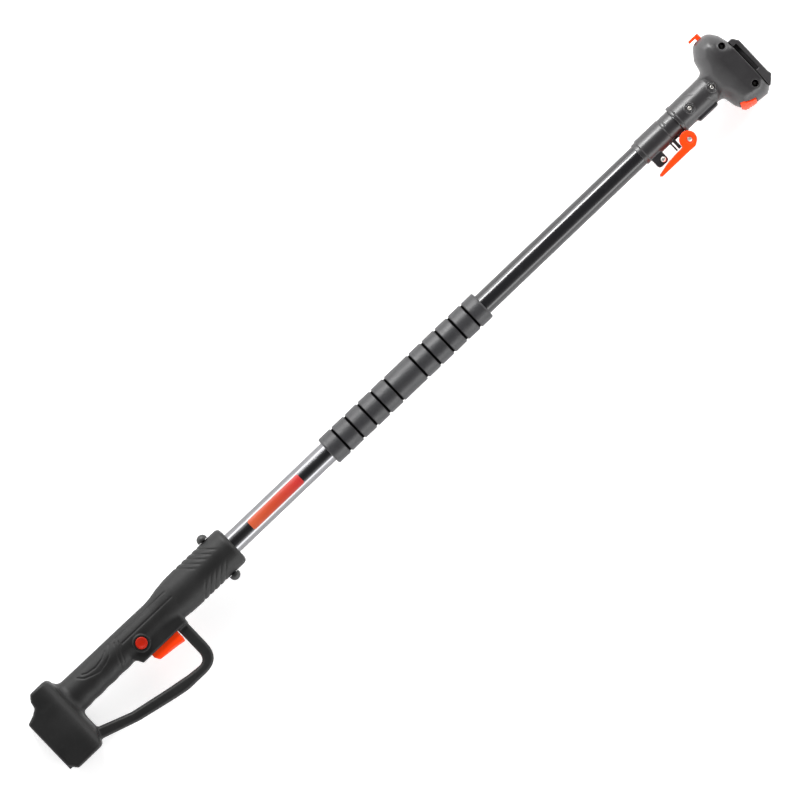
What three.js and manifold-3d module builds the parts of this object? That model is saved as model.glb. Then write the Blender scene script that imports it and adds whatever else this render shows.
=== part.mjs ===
// Battery pole tool, pushed in: handle, two-part telescoping tube, clamp and tool head.
// Millimetres. The pole lies along +X with its handle at -X. The trigger and guard face -Y, and +Z is
// the right-hand side of the tool. The tool lies on its left side; the origin is the bottom centre of
// its box. Points of an outline are [along, across, corner radius]: along is measured from the foot's
// end face and across from the pole's axis, positive towards the guard (-Y).

import * as THREE from 'three';
import { mergeVertices } from 'three/addons/utils/BufferGeometryUtils.js';
import Module from 'manifold-3d';

const wasm = await Module();
wasm.setup();

// ---------------------------------------------------------------- driving dimensions

const gap = 0.3;                 // clearance between neighbouring fixed pieces
const runGap = 0.4;              // clearance round a piece that slides or turns
const wall = 3;                  // moulded shell wall

const tubeDiameter = 28;
const tubeWall = 1;
const slideGap = 0.8;            // radial gap between the outer and the inner tube
const innerTubeWall = 1.2;
const coilClearance = 3.5;       // from the inner tube's bore to the coiled lead
const coilThickness = 3.5;
const leadRadius = 2.6;

const handleLength = 327;
const handleOffset = 0.6;        // the handle's own axis lies this far to the guard side
const handleFlatness = 0.87;     // thickness of the handle over its height
const gripDiameter = 43.4;
const bodyWall = 12.5;           // from the tube to the outside of the handle's front
const footThickness = 78;
const dockCheek = 7;             // shell left beside the dock, each side
const railCheek = 4;             // dock left beside the battery's rails, each side
const railLip = 4;               // step that the rails hook behind
const guardThickness = 16;
const guardFront = 222.5;
const guardPost = 14.5;
const housingThickness = 29;
const triggerThickness = 16;
const triggerTravel = 6;
const buttonDiameter = 14.8;
const buttonTravel = 3;

const lowerTubeLength = 160;     // bare tube from the handle to the foam
const foamLength = 256;
const foamWall = 5.25;
const upperTubeLength = 260;     // bare tube from the foam to the collar
const collarLength = 60;
const collarWall = 2.5;
const collarGrip = 9;            // depth of the outer tube in the collar
const tubeStartGap = 75;         // from the outer tube's lower end to the inner tube's

const neckLength = 60;
const neckWall = 6.8;
const neckStop = 13;             // from the inner tube's end to the head
const headThickness = 78;
const headLength = 50;           // from the neck to the head's front face
const plateRim = 2;              // the plate is this much lower than the head, each side

const screwShank = 3;
const screwHead = 6;
const screwHeadHeight = 2.4;

// ---------------------------------------------------------------- stations along the pole

const foamStart = handleLength + lowerTubeLength;
const foamEnd = foamStart + foamLength;
const collarStart = foamEnd + upperTubeLength;
const collarEnd = collarStart + collarLength;
const neckStart = collarEnd + gap;
const tubeRadius = tubeDiameter / 2;
const tubeBore = tubeRadius - tubeWall;
const innerRadius = tubeBore - slideGap;
const innerBore = innerRadius - innerTubeWall;
const outerTubeStart = guardFront + 2.5;
const outerTubeEnd = collarStart + collarGrip;
const innerTubeStart = outerTubeStart + tubeStartGap;
const headBack = neckStart + neckLength;
const headFront = headBack + headLength;
const innerTubeEnd = headBack - neckStop;
const coilRadius = innerBore - coilClearance;
const gripRadius = gripDiameter / 2;
const bodyRadius = tubeRadius + bodyWall;
const collarRadius = tubeRadius + collarWall;
const neckRadius = innerRadius + neckWall;
const handleHalf = footThickness / 2;
const headHalf = headThickness / 2;
const shankRadius = screwShank / 2;
const screwHole = shankRadius + gap;

// ---------------------------------------------------------------- solids from three.js shapes

function solid(geometry) {
  const bare = geometry.index ? geometry.toNonIndexed() : geometry.clone();
  bare.deleteAttribute('normal');
  bare.deleteAttribute('uv');
  const merged = mergeVertices(bare, 1e-4);
  const corners = merged.index.array;
  const kept = [];
  for (let i = 0; i < corners.length; i += 3) {
    const [a, b, c] = [corners[i], corners[i + 1], corners[i + 2]];
    if (a !== b && b !== c && c !== a) kept.push(a, b, c);
  }
  return new wasm.Manifold(new wasm.Mesh({
    numProp: 3,
    vertProperties: new Float32Array(merged.attributes.position.array),
    triVerts: new Uint32Array(kept),
  }));
}

function geometryOf(body) {
  const mesh = body.getMesh();
  const geometry = new THREE.BufferGeometry();
  geometry.setAttribute('position', new THREE.BufferAttribute(mesh.vertProperties, 3));
  geometry.setIndex(new THREE.BufferAttribute(mesh.triVerts, 1));
  const flat = geometry.toNonIndexed();
  flat.computeVertexNormals();
  return flat;
}

// A closed shape through the points, each corner rounded to its radius.
function outline(points, steps) {
  const at = points.map(([along, across]) => new THREE.Vector2(along, -across));
  const edge = at.flatMap((corner, i) => {
    const toBefore = at[(i + at.length - 1) % at.length].clone().sub(corner);
    const toAfter = at[(i + 1) % at.length].clone().sub(corner);
    const half = toBefore.angleTo(toAfter) / 2;
    const room = 0.45 * Math.min(toBefore.length(), toAfter.length());
    const reach = Math.min((points[i][2] || 0) / Math.tan(half), room);
    if (reach < 0.05) return [corner];
    const enter = corner.clone().add(toBefore.setLength(reach));
    const leave = corner.clone().add(toAfter.setLength(reach));
    return new THREE.QuadraticBezierCurve(enter, corner, leave).getPoints(steps);
  });
  return new THREE.Shape(edge);
}

// The outline drawn out across the tool, from one Z to another.
function slab(points, low, high, steps = 4) {
  const depth = high - low;
  const geometry = new THREE.ExtrudeGeometry(outline(points, steps), { depth, bevelEnabled: false });
  return solid(geometry.translate(0, 0, low));
}

// The same with its two rims chamfered.
function softSlab(points, low, high, bevel, steps = 4) {
  const corners = points.map(([along, across]) => [along, across, 0]);
  const geometry = new THREE.ExtrudeGeometry(outline(corners, 1), {
    depth: high - low - 2 * bevel,
    bevelThickness: bevel,
    bevelSize: bevel,
    bevelOffset: -bevel,
    bevelSegments: 2,
  });
  return solid(geometry.translate(0, 0, low + bevel)).intersect(slab(points, low, high, steps));
}

// A profile of [along, radius] points spun round the pole's direction.
function spun(profile, sides = 32) {
  const points = profile.map(([along, radius]) => new THREE.Vector2(radius, along));
  return solid(new THREE.LatheGeometry(points, sides).rotateZ(-Math.PI / 2));
}

function rod(radius, start, end, sides = 32) {
  return spun([[start, 0], [start, radius], [end, radius], [end, 0]], sides);
}

function pipe(outer, inner, start, end, sides = 32) {
  return rod(outer, start, end, sides).subtract(rod(inner, start - 1, end + 1, sides));
}

function block(x0, x1, across0, across1, z0, z1) {
  const geometry = new THREE.BoxGeometry(x1 - x0, across1 - across0, z1 - z0);
  return solid(geometry.translate((x0 + x1) / 2, -(across0 + across1) / 2, (z0 + z1) / 2));
}

// A round bar standing across the tool at one place, from one Z to another.
function post(along, across, radius, z0, z1, sides = 16) {
  const geometry = new THREE.CylinderGeometry(radius, radius, z1 - z0, sides).rotateX(Math.PI / 2);
  return solid(geometry.translate(along, -across, (z0 + z1) / 2));
}

function slice(body, z0, z1) {
  return body.intersect(block(-50, 4000, -500, 500, z0, z1));
}

function joined(bodies) {
  return bodies.reduce((whole, body) => whole.add(body));
}

function cutAway(body, tools) {
  return tools.reduce((rest, tool) => rest.subtract(tool), body);
}

// ---------------------------------------------------------------- finishes

const finishes = {
  handlePlastic: { color: 0x2b2b2b, roughness: 0.62, metalness: 0 },
  dockPlastic: { color: 0x262626, roughness: 0.7, metalness: 0 },
  headPlastic: { color: 0x4a4849, roughness: 0.55, metalness: 0 },
  platePlastic: { color: 0x38373a, roughness: 0.6, metalness: 0 },
  orangePlastic: { color: 0xf03a0c, roughness: 0.4, metalness: 0 },
  redPlastic: { color: 0xc82c00, roughness: 0.4, metalness: 0 },
  tubeCoat: { color: 0x1a1a1b, roughness: 0.22, metalness: 0.5 },
  innerTubeCoat: { color: 0x9a9ca0, roughness: 0.35, metalness: 0.9 },
  foam: { color: 0x484848, roughness: 0.95, metalness: 0 },
  label: { color: 0xd8552e, roughness: 0.35, metalness: 0 },
  steel: { color: 0xb9b6b2, roughness: 0.3, metalness: 1 },
  brass: { color: 0xb58e3c, roughness: 0.35, metalness: 1 },
  blackRubber: { color: 0x161616, roughness: 0.8, metalness: 0 },
  board: { color: 0x1d5a34, roughness: 0.5, metalness: 0 },
};

const pole = new THREE.Group();

function piece(name, body, finish, parent = pole) {
  const material = new THREE.MeshStandardMaterial(finishes[finish]);
  const mesh = new THREE.Mesh(geometryOf(body), material);
  mesh.name = name;
  parent.add(mesh);
  return mesh;
}

// A pan-head screw along Z: its head rests on a ledge, and direction 1 points its tip to +Z.
function screw(along, across, ledge, length, direction) {
  const head = [ledge - direction * (gap + screwHeadHeight), ledge - direction * gap];
  const shank = [ledge - direction * (gap + 1), ledge + direction * length];
  return post(along, across, screwHead / 2, Math.min(...head), Math.max(...head), 12)
    .add(post(along, across, shankRadius, Math.min(...shank), Math.max(...shank), 8));
}

// The screw's hole, with a wide bore for its head from the ledge out to the surface.
function screwBore(along, across, ledge, length, direction, reach) {
  const wide = [ledge, ledge - direction * reach];
  const narrow = [ledge - direction, ledge + direction * (length + gap)];
  return post(along, across, screwHead / 2 + gap, Math.min(...wide), Math.max(...wide), 12)
    .add(post(along, across, screwHole, Math.min(...narrow), Math.max(...narrow), 8));
}

// ---------------------------------------------------------------- battery slot in the foot

const dockFace = 34;             // depth of the dock in the foot
const dockBack = -7;
const dockFront = 62;
const slotDepth = 20;
const slotLip = 7;
const slotBack = 6;
const dockHalf = handleHalf - dockCheek;
const railHalf = dockHalf - railCheek;
const lipHalf = railHalf - railLip;
const slotOpen = 75;             // past the foot's edge on the guard side
const wireHalf = 5;

// The slot that a battery's rails slide into from the guard side: narrow at the lip, wide behind it.
const railSlot = joined([
  block(-5, slotLip + 1, slotBack, slotOpen, -lipHalf, lipHalf),
  block(slotLip, slotDepth, slotBack, slotOpen, -railHalf, railHalf),
]);
const wireHole = block(slotDepth, dockFace + wall + 1, -2, slotBack, -wireHalf, wireHalf);

// ---------------------------------------------------------------- handle shells

const waistRadius = gripRadius - 0.9;
const bodyBack = guardFront - 22;
const footFront = 57;

// The round bar of the handle: a grip that swells into the body, flattened across the tool.
function handleBar(inset, start, end) {
  const full = [
    [start, gripRadius], [guardFront - 72.5, gripRadius - 0.3], [bodyBack, waistRadius],
    [bodyBack + 12, gripRadius + 1.4],
    [guardFront + 1, bodyRadius - 1.2], [guardFront + 27, bodyRadius], [handleLength - 7, bodyRadius],
    [handleLength - 2, bodyRadius - 2], [handleLength, bodyRadius - 5.5],
  ];
  const kept = full.filter(([along]) => along <= end);
  const profile = kept.map(([along, radius]) => [along, radius - inset]);
  const bar = spun([[start, 0], ...profile, [kept.at(-1)[0], 0]], 36);
  return bar.scale([1, 1, handleFlatness]).translate([0, -handleOffset, 0]);
}

// The foot: a block with a sloping back corner, its shoulder towards the grip rounded off.
function footBlock() {
  const side = [
    [0, -11, 0], [13, -16, 3], [20.5, -22, 3], [21, -30, 3], [27, -36.4, 4], [footFront - 5, -36.4, 9],
    [footFront - 0.5, -24, 6], [footFront, 46, 6], [footFront - 8, 67.8, 6], [9, 68, 5], [0, 57, 5],
  ];
  const rounding = 24;
  const shoulderEnd = footFront + 0.5;
  const shoulder = slab([[-10, handleHalf, 0], [shoulderEnd, handleHalf, rounding],
    [shoulderEnd, -handleHalf, rounding], [-10, -handleHalf, 0]], -100, 100, 6);
  return softSlab(side, -handleHalf, handleHalf, 2).intersect(shoulder.rotate([90, 0, 0]));
}

function guardLoop() {
  const rim = [
    [footFront - 11, 5, 0], [footFront - 11, 60, 0], [100, 77, 40], [guardFront - 72.5, 87.6, 60],
    [guardFront - 32.5, 91, 40], [guardFront, 91, 20], [guardFront, 5, 0],
  ];
  const fingerGap = [
    [footFront, 5, 0], [footFront, 47, 4], [100, 63, 40], [guardFront - 72.5, 72.8, 60],
    [guardFront - 42.5, 77.5, 20],
    [guardFront - guardPost, 79.8, 9], [guardFront - guardPost, 5, 0],
  ];
  const half = guardThickness / 2;
  return softSlab(rim, -half, half, 2.5).subtract(slab(fingerGap, -half - 1, half + 1));
}

const triggerFront = guardFront - guardPost - 1.2;
const triggerBack = triggerFront - 41.8;
const triggerRoot = gripRadius + 0.3;
const housingDepth = gripRadius + 8.8;
const switchFront = gripRadius - 7.7;
const switchBack = 9.7 - gripRadius;
const triggerWell = block(triggerBack - 1, triggerFront + 0.5, switchFront, housingDepth + 2,
  -triggerThickness / 2 - runGap, triggerThickness / 2 + runGap);

const buttonAlong = triggerBack + 1;
const buttonAcross = gripRadius - 10.3;
const buttonRadius = buttonDiameter / 2;
const bossHeight = handleFlatness * gripRadius + 1.1;
const buttonFoot = bossHeight - 7;
const bossWall = 3.1;

const bodyMiddle = (guardFront + handleLength) / 2 - 7.75;
const bodyScrewOut = tubeRadius + 6.6;
const gripScrewPlaces = [[footFront + 13, 2], [triggerBack - 17, -10], [triggerFront + 2.2, -9]];
const bodyScrewPlaces = [
  [bodyMiddle, handleOffset - bodyScrewOut],
  [bodyMiddle, handleOffset + bodyScrewOut],
];

// Each screw is [along, across, depth of its ledge under the seam, length].
const gripScrews = gripScrewPlaces.map((place) => [...place, 9, 16]);
const footScrews = [[44, -27], [44, 57]].map((place) => [...place, 9, 16]);
const bodyScrews = bodyScrewPlaces.map((place) => [...place, 6, 13]);
const guardScrews = [[guardFront - 34.5, 84.3, 3.6, 8]];
const handleScrews = [...gripScrews, ...footScrews, ...bodyScrews, ...guardScrews];

const studAlong = handleLength - 23.3;
const studStem = 3.5;
const studDome = 7;
const leadRoom = 8;

function triggerHousing() {
  const side = [
    [triggerBack - 19, 10, 0], [triggerBack - 14, housingDepth, 3], [guardFront, housingDepth, 0],
    [guardFront, 10, 0],
  ];
  return softSlab(side, -housingThickness / 2, housingThickness / 2, 3);
}

// A ring-shaped hollow round the tube inside the handle's front.
function ringPocket(start, end) {
  return handleBar(wall, start - 60, handleLength)
    .intersect(block(start, end, -60, 60, -60, 60))
    .subtract(rod(tubeRadius + gap + wall, start - 1, end + 1));
}

function studHole() {
  const bar = new THREE.CylinderGeometry(studStem + gap, studStem + gap, 80, 12);
  return solid(bar.translate(studAlong, 0, 0))
    .subtract(rod(tubeRadius + gap, studAlong - 9, studAlong + 9));
}

function handleBody() {
  const footHollowHalf = dockHalf - 7;
  const outside = joined([
    handleBar(0, 40, handleLength),
    footBlock(),
    triggerHousing(),
    guardLoop(),
    post(buttonAlong, buttonAcross, buttonRadius + bossWall, 5, bossHeight, 24),
  ]);
  const hollow = joined([
    handleBar(wall, 50, bodyBack + 12),
    block(dockFace + wall, footFront - 4, -32, 62, -footHollowHalf, footHollowHalf),
  ]);
  const columns = [...gripScrews, ...footScrews].map(([along, across]) =>
    post(along, across, 4, -handleHalf + 1, handleHalf - 1).intersect(outside));
  const shell = cutAway(outside, [cutAway(hollow, columns)]);
  const bores = [
    block(-1, dockFace + gap, dockBack - gap, dockFront + gap, -dockHalf - gap, dockHalf + gap),
    railSlot,
    wireHole,
    triggerWell,
    rod(leadRoom, bodyBack + 5, outerTubeStart + 1, 16),
    rod(tubeRadius + gap, outerTubeStart - gap, handleLength + 1),
    ringPocket(guardFront + 7, bodyMiddle - 8),
    ringPocket(bodyMiddle + 8, handleLength - 10),
    post(buttonAlong, buttonAcross, buttonRadius + runGap, 3, bossHeight + 1, 24),
    studHole(),
    ...handleScrews.map(([along, across, ledge, length]) =>
      screwBore(along, across, -ledge, length, 1, handleHalf)),
  ];
  return cutAway(shell, bores);
}

const handle = handleBody();
piece('handle_shell_right', slice(handle, gap / 2, 60), 'handlePlastic');
piece('handle_shell_left', slice(handle, -60, -gap / 2), 'handlePlastic');
handleScrews.forEach(([along, across, ledge, length], i) => {
  piece(`handle_screw_${i + 1}`, screw(along, across, -ledge, length, 1), 'steel');
});

// Domed strap studs, one on the back and one on the guard side.
function strapStud(side) {
  const base = bodyRadius + gap + side * handleOffset;
  const profile = [
    [0, tubeRadius + 6], [studStem, tubeRadius + 6], [studStem, base], [studDome, base],
    [studDome, base + 3.4], [studDome - 2, base + 6.4], [studDome - 4.6, base + 8], [0, base + 8.4],
  ].map(([radius, out]) => new THREE.Vector2(radius, out));
  const geometry = new THREE.LatheGeometry(profile, 20).rotateZ(side > 0 ? Math.PI : 0);
  return solid(geometry.translate(studAlong, 0, 0));
}
piece('strap_stud_guard', strapStud(1), 'blackRubber');
piece('strap_stud_back', strapStud(-1), 'blackRubber');

// ---------------------------------------------------------------- battery dock, set in the foot

const recessDepth = dockFace - 4;
const recessHalf = lipHalf - 4;
const terminalPitch = recessHalf - 8;
const bladeHalf = 0.5;
const terminalRecess = block(slotLip, recessDepth, dockBack + 2, slotBack + 1, -recessHalf, recessHalf);
piece('battery_dock', cutAway(
  block(0, dockFace, dockBack, dockFront, -dockHalf, dockHalf),
  [railSlot, terminalRecess, wireHole],
), 'dockPlastic');
piece('terminal_holder', block(slotLip + gap, recessDepth - gap, dockBack + 2 + gap, slotBack - 1,
  -recessHalf + gap, recessHalf - gap), 'blackRubber');
[-terminalPitch, 0, terminalPitch].forEach((z, i) => {
  piece(`dock_terminal_${i + 1}`, block(slotLip + 3, slotDepth - 3, slotBack - 1 + gap, slotBack + 9,
    z - bladeHalf, z + bladeHalf), 'brass');
});

// ---------------------------------------------------------------- inside the handle

const switchHalf = buttonFoot - 6;
const boardLevel = 12.7 - gripRadius;
const boardThickness = 1.6;
piece('control_board', block(footFront + 25, triggerBack - 25, -4, switchFront, boardLevel,
  boardLevel + boardThickness), 'board');
piece('switch_body', block(triggerBack - 9, triggerFront - 6, switchBack, switchFront, -switchHalf,
  switchHalf), 'blackRubber');

// The blade of the trigger, with a rounded nose and a back edge inside the well.
function triggerBlade() {
  const edge = [
    [triggerBack, triggerRoot, 0], [triggerBack + 0.5, triggerRoot + 14, 0],
    [triggerBack + 3, triggerRoot + 18.5, 3], [triggerFront - 1, triggerRoot + 24.2, 1],
    [triggerFront, triggerRoot + 18, 0], [triggerFront, triggerRoot, 0],
  ];
  return softSlab(edge, -triggerThickness / 2, triggerThickness / 2, 1);
}
const springRadius = 4;
const springFoot = switchFront + gap;
const springTop = triggerRoot - gap;
const buttonStand = 1.6;
piece('trigger', triggerBlade(), 'orangePlastic');
const triggerCoil = new THREE.CylinderGeometry(springRadius, springRadius, springTop - springFoot, 12);
piece('trigger_spring', solid(triggerCoil.translate(triggerFront - 20,
  -(springTop + springFoot) / 2, 0)), 'steel');
piece('lock_button', post(buttonAlong, buttonAcross, buttonRadius, buttonFoot, bossHeight + buttonStand, 24),
  'redPlastic');
piece('lock_spring', post(buttonAlong, buttonAcross, springRadius, switchHalf + gap, buttonFoot - gap, 12),
  'steel');

function lead(points, radius, steps) {
  const path = new THREE.CatmullRomCurve3(points.map(([x, across, z]) => new THREE.Vector3(x, -across, z)));
  const section = new THREE.Shape().absarc(0, 0, radius, 0, 2 * Math.PI);
  return solid(new THREE.ExtrudeGeometry(section, { steps, extrudePath: path, curveSegments: 4 }));
}
const coilStart = outerTubeStart + 15;
const coilEnd = innerTubeEnd - 10;
piece('handle_lead', lead([[triggerFront - 5, 0, 0], [guardFront - 5, 0, 0], [coilStart - 1, 0, 0]],
  leadRadius, 8), 'blackRubber');
piece('coil_lead', pipe(coilRadius, coilRadius - coilThickness, coilStart, coilEnd, 16), 'blackRubber');

// ---------------------------------------------------------------- outer tube, label and foam grip

piece('outer_tube', pipe(tubeRadius, tubeBore, outerTubeStart, outerTubeEnd), 'tubeCoat');

const labelStart = handleLength + 31;
const labelLength = 83;
const labelEnd = labelStart + labelLength;
const labelThickness = 0.4;
piece('label_plate', pipe(tubeRadius + gap + labelThickness, tubeRadius + gap, labelStart, labelEnd, 48)
  .intersect(block(labelStart, labelEnd, -7.5, 7, 0, 40)), 'label');

// A moulded sleeve with two sets of ring grooves.
function foamGrip() {
  const radius = tubeRadius + foamWall;
  const grooveDepth = 1.5;
  const groove = 1.6;
  const pitch = 21.8;
  const firstSet = [0, 1, 2, 3, 4].map((i) => foamStart + 21 + i * pitch);
  const secondSet = [0, 1, 2, 3, 4].map((i) => foamEnd - 20 - (4 - i) * pitch);
  const rings = [...firstSet, ...secondSet].flatMap((at) =>
    [[at - groove, radius], [at, radius - grooveDepth], [at + groove, radius]]);
  const sleeve = spun([
    [foamStart, 0], [foamStart, radius - 2.5], [foamStart + 2.5, radius], ...rings,
    [foamEnd - 2.5, radius], [foamEnd, radius - 2.5], [foamEnd, 0],
  ], 20);
  return sleeve.subtract(rod(tubeRadius + gap, foamStart - 1, foamEnd + 1));
}
piece('foam_grip', foamGrip(), 'foam');

// ---------------------------------------------------------------- clamp collar and its lever

const boltHead = 3.6;
const boltRadius = 1.8;
const boltAlong = collarStart + 17.6;
const boltAcross = collarRadius + 7.1;
const earHalf = 9;
const pinAlong = collarEnd - 3;
const pinAcross = collarRadius + 11.5;
const pinRadius = 2.8;
const lugHalf = 8;
const camRadius = 10.7;
const camAlong = pinAlong - 1.5;
const camAcross = pinAcross - 1.2;
const leverHalf = 13;
const shoeLength = 14;
const shoeStart = pinAlong - 16.6;
const shoeHalf = 6;
const clampSlit = 0.8;

function clampCollar() {
  const sleeve = spun([
    [collarStart, 0], [collarStart, collarRadius - 1.2], [collarStart + 6, collarRadius - 1.2],
    [collarStart + 6, collarRadius], [collarEnd - 18, collarRadius], [collarEnd - 17, collarRadius - 0.7],
    [collarEnd, collarRadius - 0.7], [collarEnd, 0],
  ]);
  const earTop = boltAcross + 5.4;
  const lugTop = pinAcross + 6.5;
  const ear = slab([[boltAlong - 11.2, 5, 0], [boltAlong - 11.2, earTop, 4], [boltAlong + 5.1, earTop, 4],
    [boltAlong + 5.1, 5, 0]], -earHalf, earHalf);
  const plates = [[21, 19], [17, 13]].map(([from, to]) =>
    block(pinAlong - from, pinAlong - to, 5, pinAcross - 0.2, -lugHalf, lugHalf));
  const lug = slab([[pinAlong - 7, 5, 0], [pinAlong - 7, lugTop, 5], [pinAlong + 2.8, lugTop, 2.4],
    [pinAlong + 2.8, 5, 0]], -lugHalf, lugHalf);
  const whole = joined([sleeve, ear, lug, ...plates]);
  return cutAway(whole, [
    rod(tubeRadius + gap, collarStart - 1, outerTubeEnd + gap),
    rod(innerRadius + runGap, collarStart - 1, collarEnd + 1),
    block(collarStart - 1, boltAlong + 8.4, 8, 40, -clampSlit, clampSlit),
    post(boltAlong, boltAcross, boltRadius + gap, -20, 20, 12),
    post(pinAlong, pinAcross, pinRadius + gap, -20, 20, 16),
    block(shoeStart, shoeStart + shoeLength, 5, collarRadius + 1, -shoeHalf, shoeHalf),
    block(shoeStart, pinAlong + 3.1, collarRadius - 0.4, pinAcross - pinRadius - 3.2, -shoeHalf, shoeHalf),
  ]);
}
piece('clamp_collar', clampCollar(), 'headPlastic');
const shoeTop = collarRadius + 0.4;
piece('brake_shoe', block(shoeStart + gap, shoeStart + shoeLength - gap, innerRadius - 2.2, shoeTop,
  gap - shoeHalf, shoeHalf - gap)
  .subtract(rod(innerRadius + gap, pinAlong - 20, pinAlong)), 'blackRubber');
piece('collar_bolt', post(boltAlong, boltAcross, boltHead, earHalf + gap, earHalf + 3, 16)
  .add(post(boltAlong, boltAcross, boltRadius, -earHalf - 4, earHalf + 1, 8)), 'steel');
piece('collar_nut', post(boltAlong, boltAcross, boltHead, -earHalf - 3, -earHalf - gap, 6)
  .subtract(post(boltAlong, boltAcross, boltRadius + gap, -30, 0, 12)), 'steel');
piece('lever_pin', post(pinAlong, pinAcross, pinRadius, -leverHalf - 0.6, leverHalf + 0.6, 16), 'steel');

// A flat arm over the collar that ends in two cam cheeks, one each side of the lug.
function clampLever() {
  const armLow = pinAcross + 1;
  const arm = [
    [pinAlong - 12, armLow, 0], [pinAlong - 23, armLow, 4], [pinAlong - 36, pinAcross + 2, 8],
    [pinAlong - 55, pinAcross + 6.2, 2], [pinAlong - 56.6, pinAcross + 8, 1],
    [pinAlong - 54, pinAcross + 10, 1], [pinAlong + 2, pinAcross + 10, 4], [pinAlong + 2, armLow, 0],
  ];
  const cheeks = post(camAlong, camAcross, camRadius, -leverHalf, leverHalf, 28);
  const roomHalf = lugHalf + runGap;
  const lugRoom = joined([
    post(pinAlong, pinAcross, 11.5, -roomHalf, roomHalf, 24),
    block(pinAlong - 3, pinAlong + 12, pinAcross - 20, pinAcross + 12, -roomHalf, roomHalf),
    block(pinAlong - 15, pinAlong + 12, pinAcross - 20, pinAcross, -roomHalf, roomHalf),
  ]);
  return softSlab(arm, -leverHalf, leverHalf, 0.8).add(cheeks).subtract(lugRoom)
    .subtract(post(pinAlong, pinAcross, pinRadius + runGap, -20, 20, 16));
}
piece('clamp_lever', clampLever(), 'orangePlastic');

// ---------------------------------------------------------------- the mast: inner tube, neck and head

const mast = new THREE.Group();
pole.add(mast);

const plateScrews = [[headFront - 9, -26.4], [headFront - 10.6, 33.5]];
const plateLedge = 9;
const neckScrewAlong = [neckStart + 22, headBack - 1];
const neckScrewAcross = 0.8;
const neckLedge = neckRadius - 1.8;
const neckScrewLengths = [neckLedge - innerRadius + 1, neckLedge - 2 * leadRadius];
const neckBoss = 7;
const buttonSlope = Math.atan2(8, 18);

const tubeScrewHole = post(neckScrewAlong[0], neckScrewAcross, screwHole, 5, neckRadius, 8);
piece('inner_tube', pipe(innerRadius, innerBore, innerTubeStart, innerTubeEnd).subtract(tubeScrewHole),
  'innerTubeCoat', mast);
piece('inner_bush', pipe(tubeBore - gap, coilRadius + 1, innerTubeStart - 4, innerTubeStart - gap, 20)
  .add(pipe(innerBore - gap, coilRadius + 1, innerTubeStart - 1, innerTubeStart + 14, 20)),
  'blackRubber', mast);

function headOutline(inset) {
  return [
    [headBack - 4, -16 + inset, 0], [headBack + 5 + inset, -37, 12], [headBack + 17.5, -51 + inset, 9],
    [headFront - 7, -51 + inset, 9], [headFront - inset, -38, 10], [headFront - inset, 52.2 - inset, 2],
    [headBack + 27, 52.2 - inset, 8], [headBack + 9, 48 - inset, 6], [headBack + 2.6 + inset, 33, 10],
    [headBack - 4, 16 - inset, 0],
  ];
}

// The head's block, made that much larger all round: thin where it leaves the neck and towards its two
// ends, and full thickness along the front.
function headForm(grow) {
  const high = headHalf + grow;
  const neckHigh = headHalf - 19 + grow;
  const rise = [
    [headBack - 30, neckHigh, 0], [headBack, neckHigh + 3, 8], [headBack + 28, high, 12],
    [headFront + 20, high, 0],
  ];
  const fall = [[high - 13, -56, 0], [high, -22, 12], [high, 24, 12], [high - 13, 58, 0]];
  const flip = ([along, out, radius]) => [along, -out, radius];
  const flipSide = ([out, across, radius]) => [-out, across, radius];
  const lengthwise = slab([...rise, ...rise.map(flip).reverse()], -100, 100).rotate([90, 0, 0]);
  const crosswise = slab([...fall, ...fall.map(flipSide).reverse()], headBack - 60, headFront + 60)
    .rotate([0, 90, 0]);
  return softSlab(headOutline(-grow), -high, high, 5).intersect(lengthwise).intersect(crosswise);
}

// A box on the head's sloping flank, measured from the release button's middle: half its length along
// the slope, how far it reaches inwards and outwards, and half its height.
function flankBox(half, inwards, outwards, high) {
  const geometry = new THREE.BoxGeometry(2 * half, inwards + outwards, 2 * high);
  geometry.translate(0, (inwards - outwards) / 2, 0).rotateZ(-buttonSlope);
  return solid(geometry.translate(headBack + 17.2, -47.2, 0));
}

function flankRod(radius, from, to) {
  const geometry = new THREE.CylinderGeometry(radius, radius, to - from, 12);
  geometry.translate(0, (from + to) / 2, 0).rotateZ(-buttonSlope);
  return solid(geometry.translate(headBack + 17.2, -47.2, 0));
}

const holderHalf = 22;
const latchHalf = 9.9;
const latchThickness = 3;
const latchTravel = 4;
const latchHigh = headHalf - 13;
const latchDeep = 9;
const latchProud = 1.2;
const latchSpringEnd = latchThickness + latchTravel + 5;
const hookAlong = headBack + 27.8;
const hookHalf = 3;
const hookHigh = 9;
const hookRoot = -38;
const hookTravel = 3;
const hookSpringEnd = hookRoot + hookTravel + 8;

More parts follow.
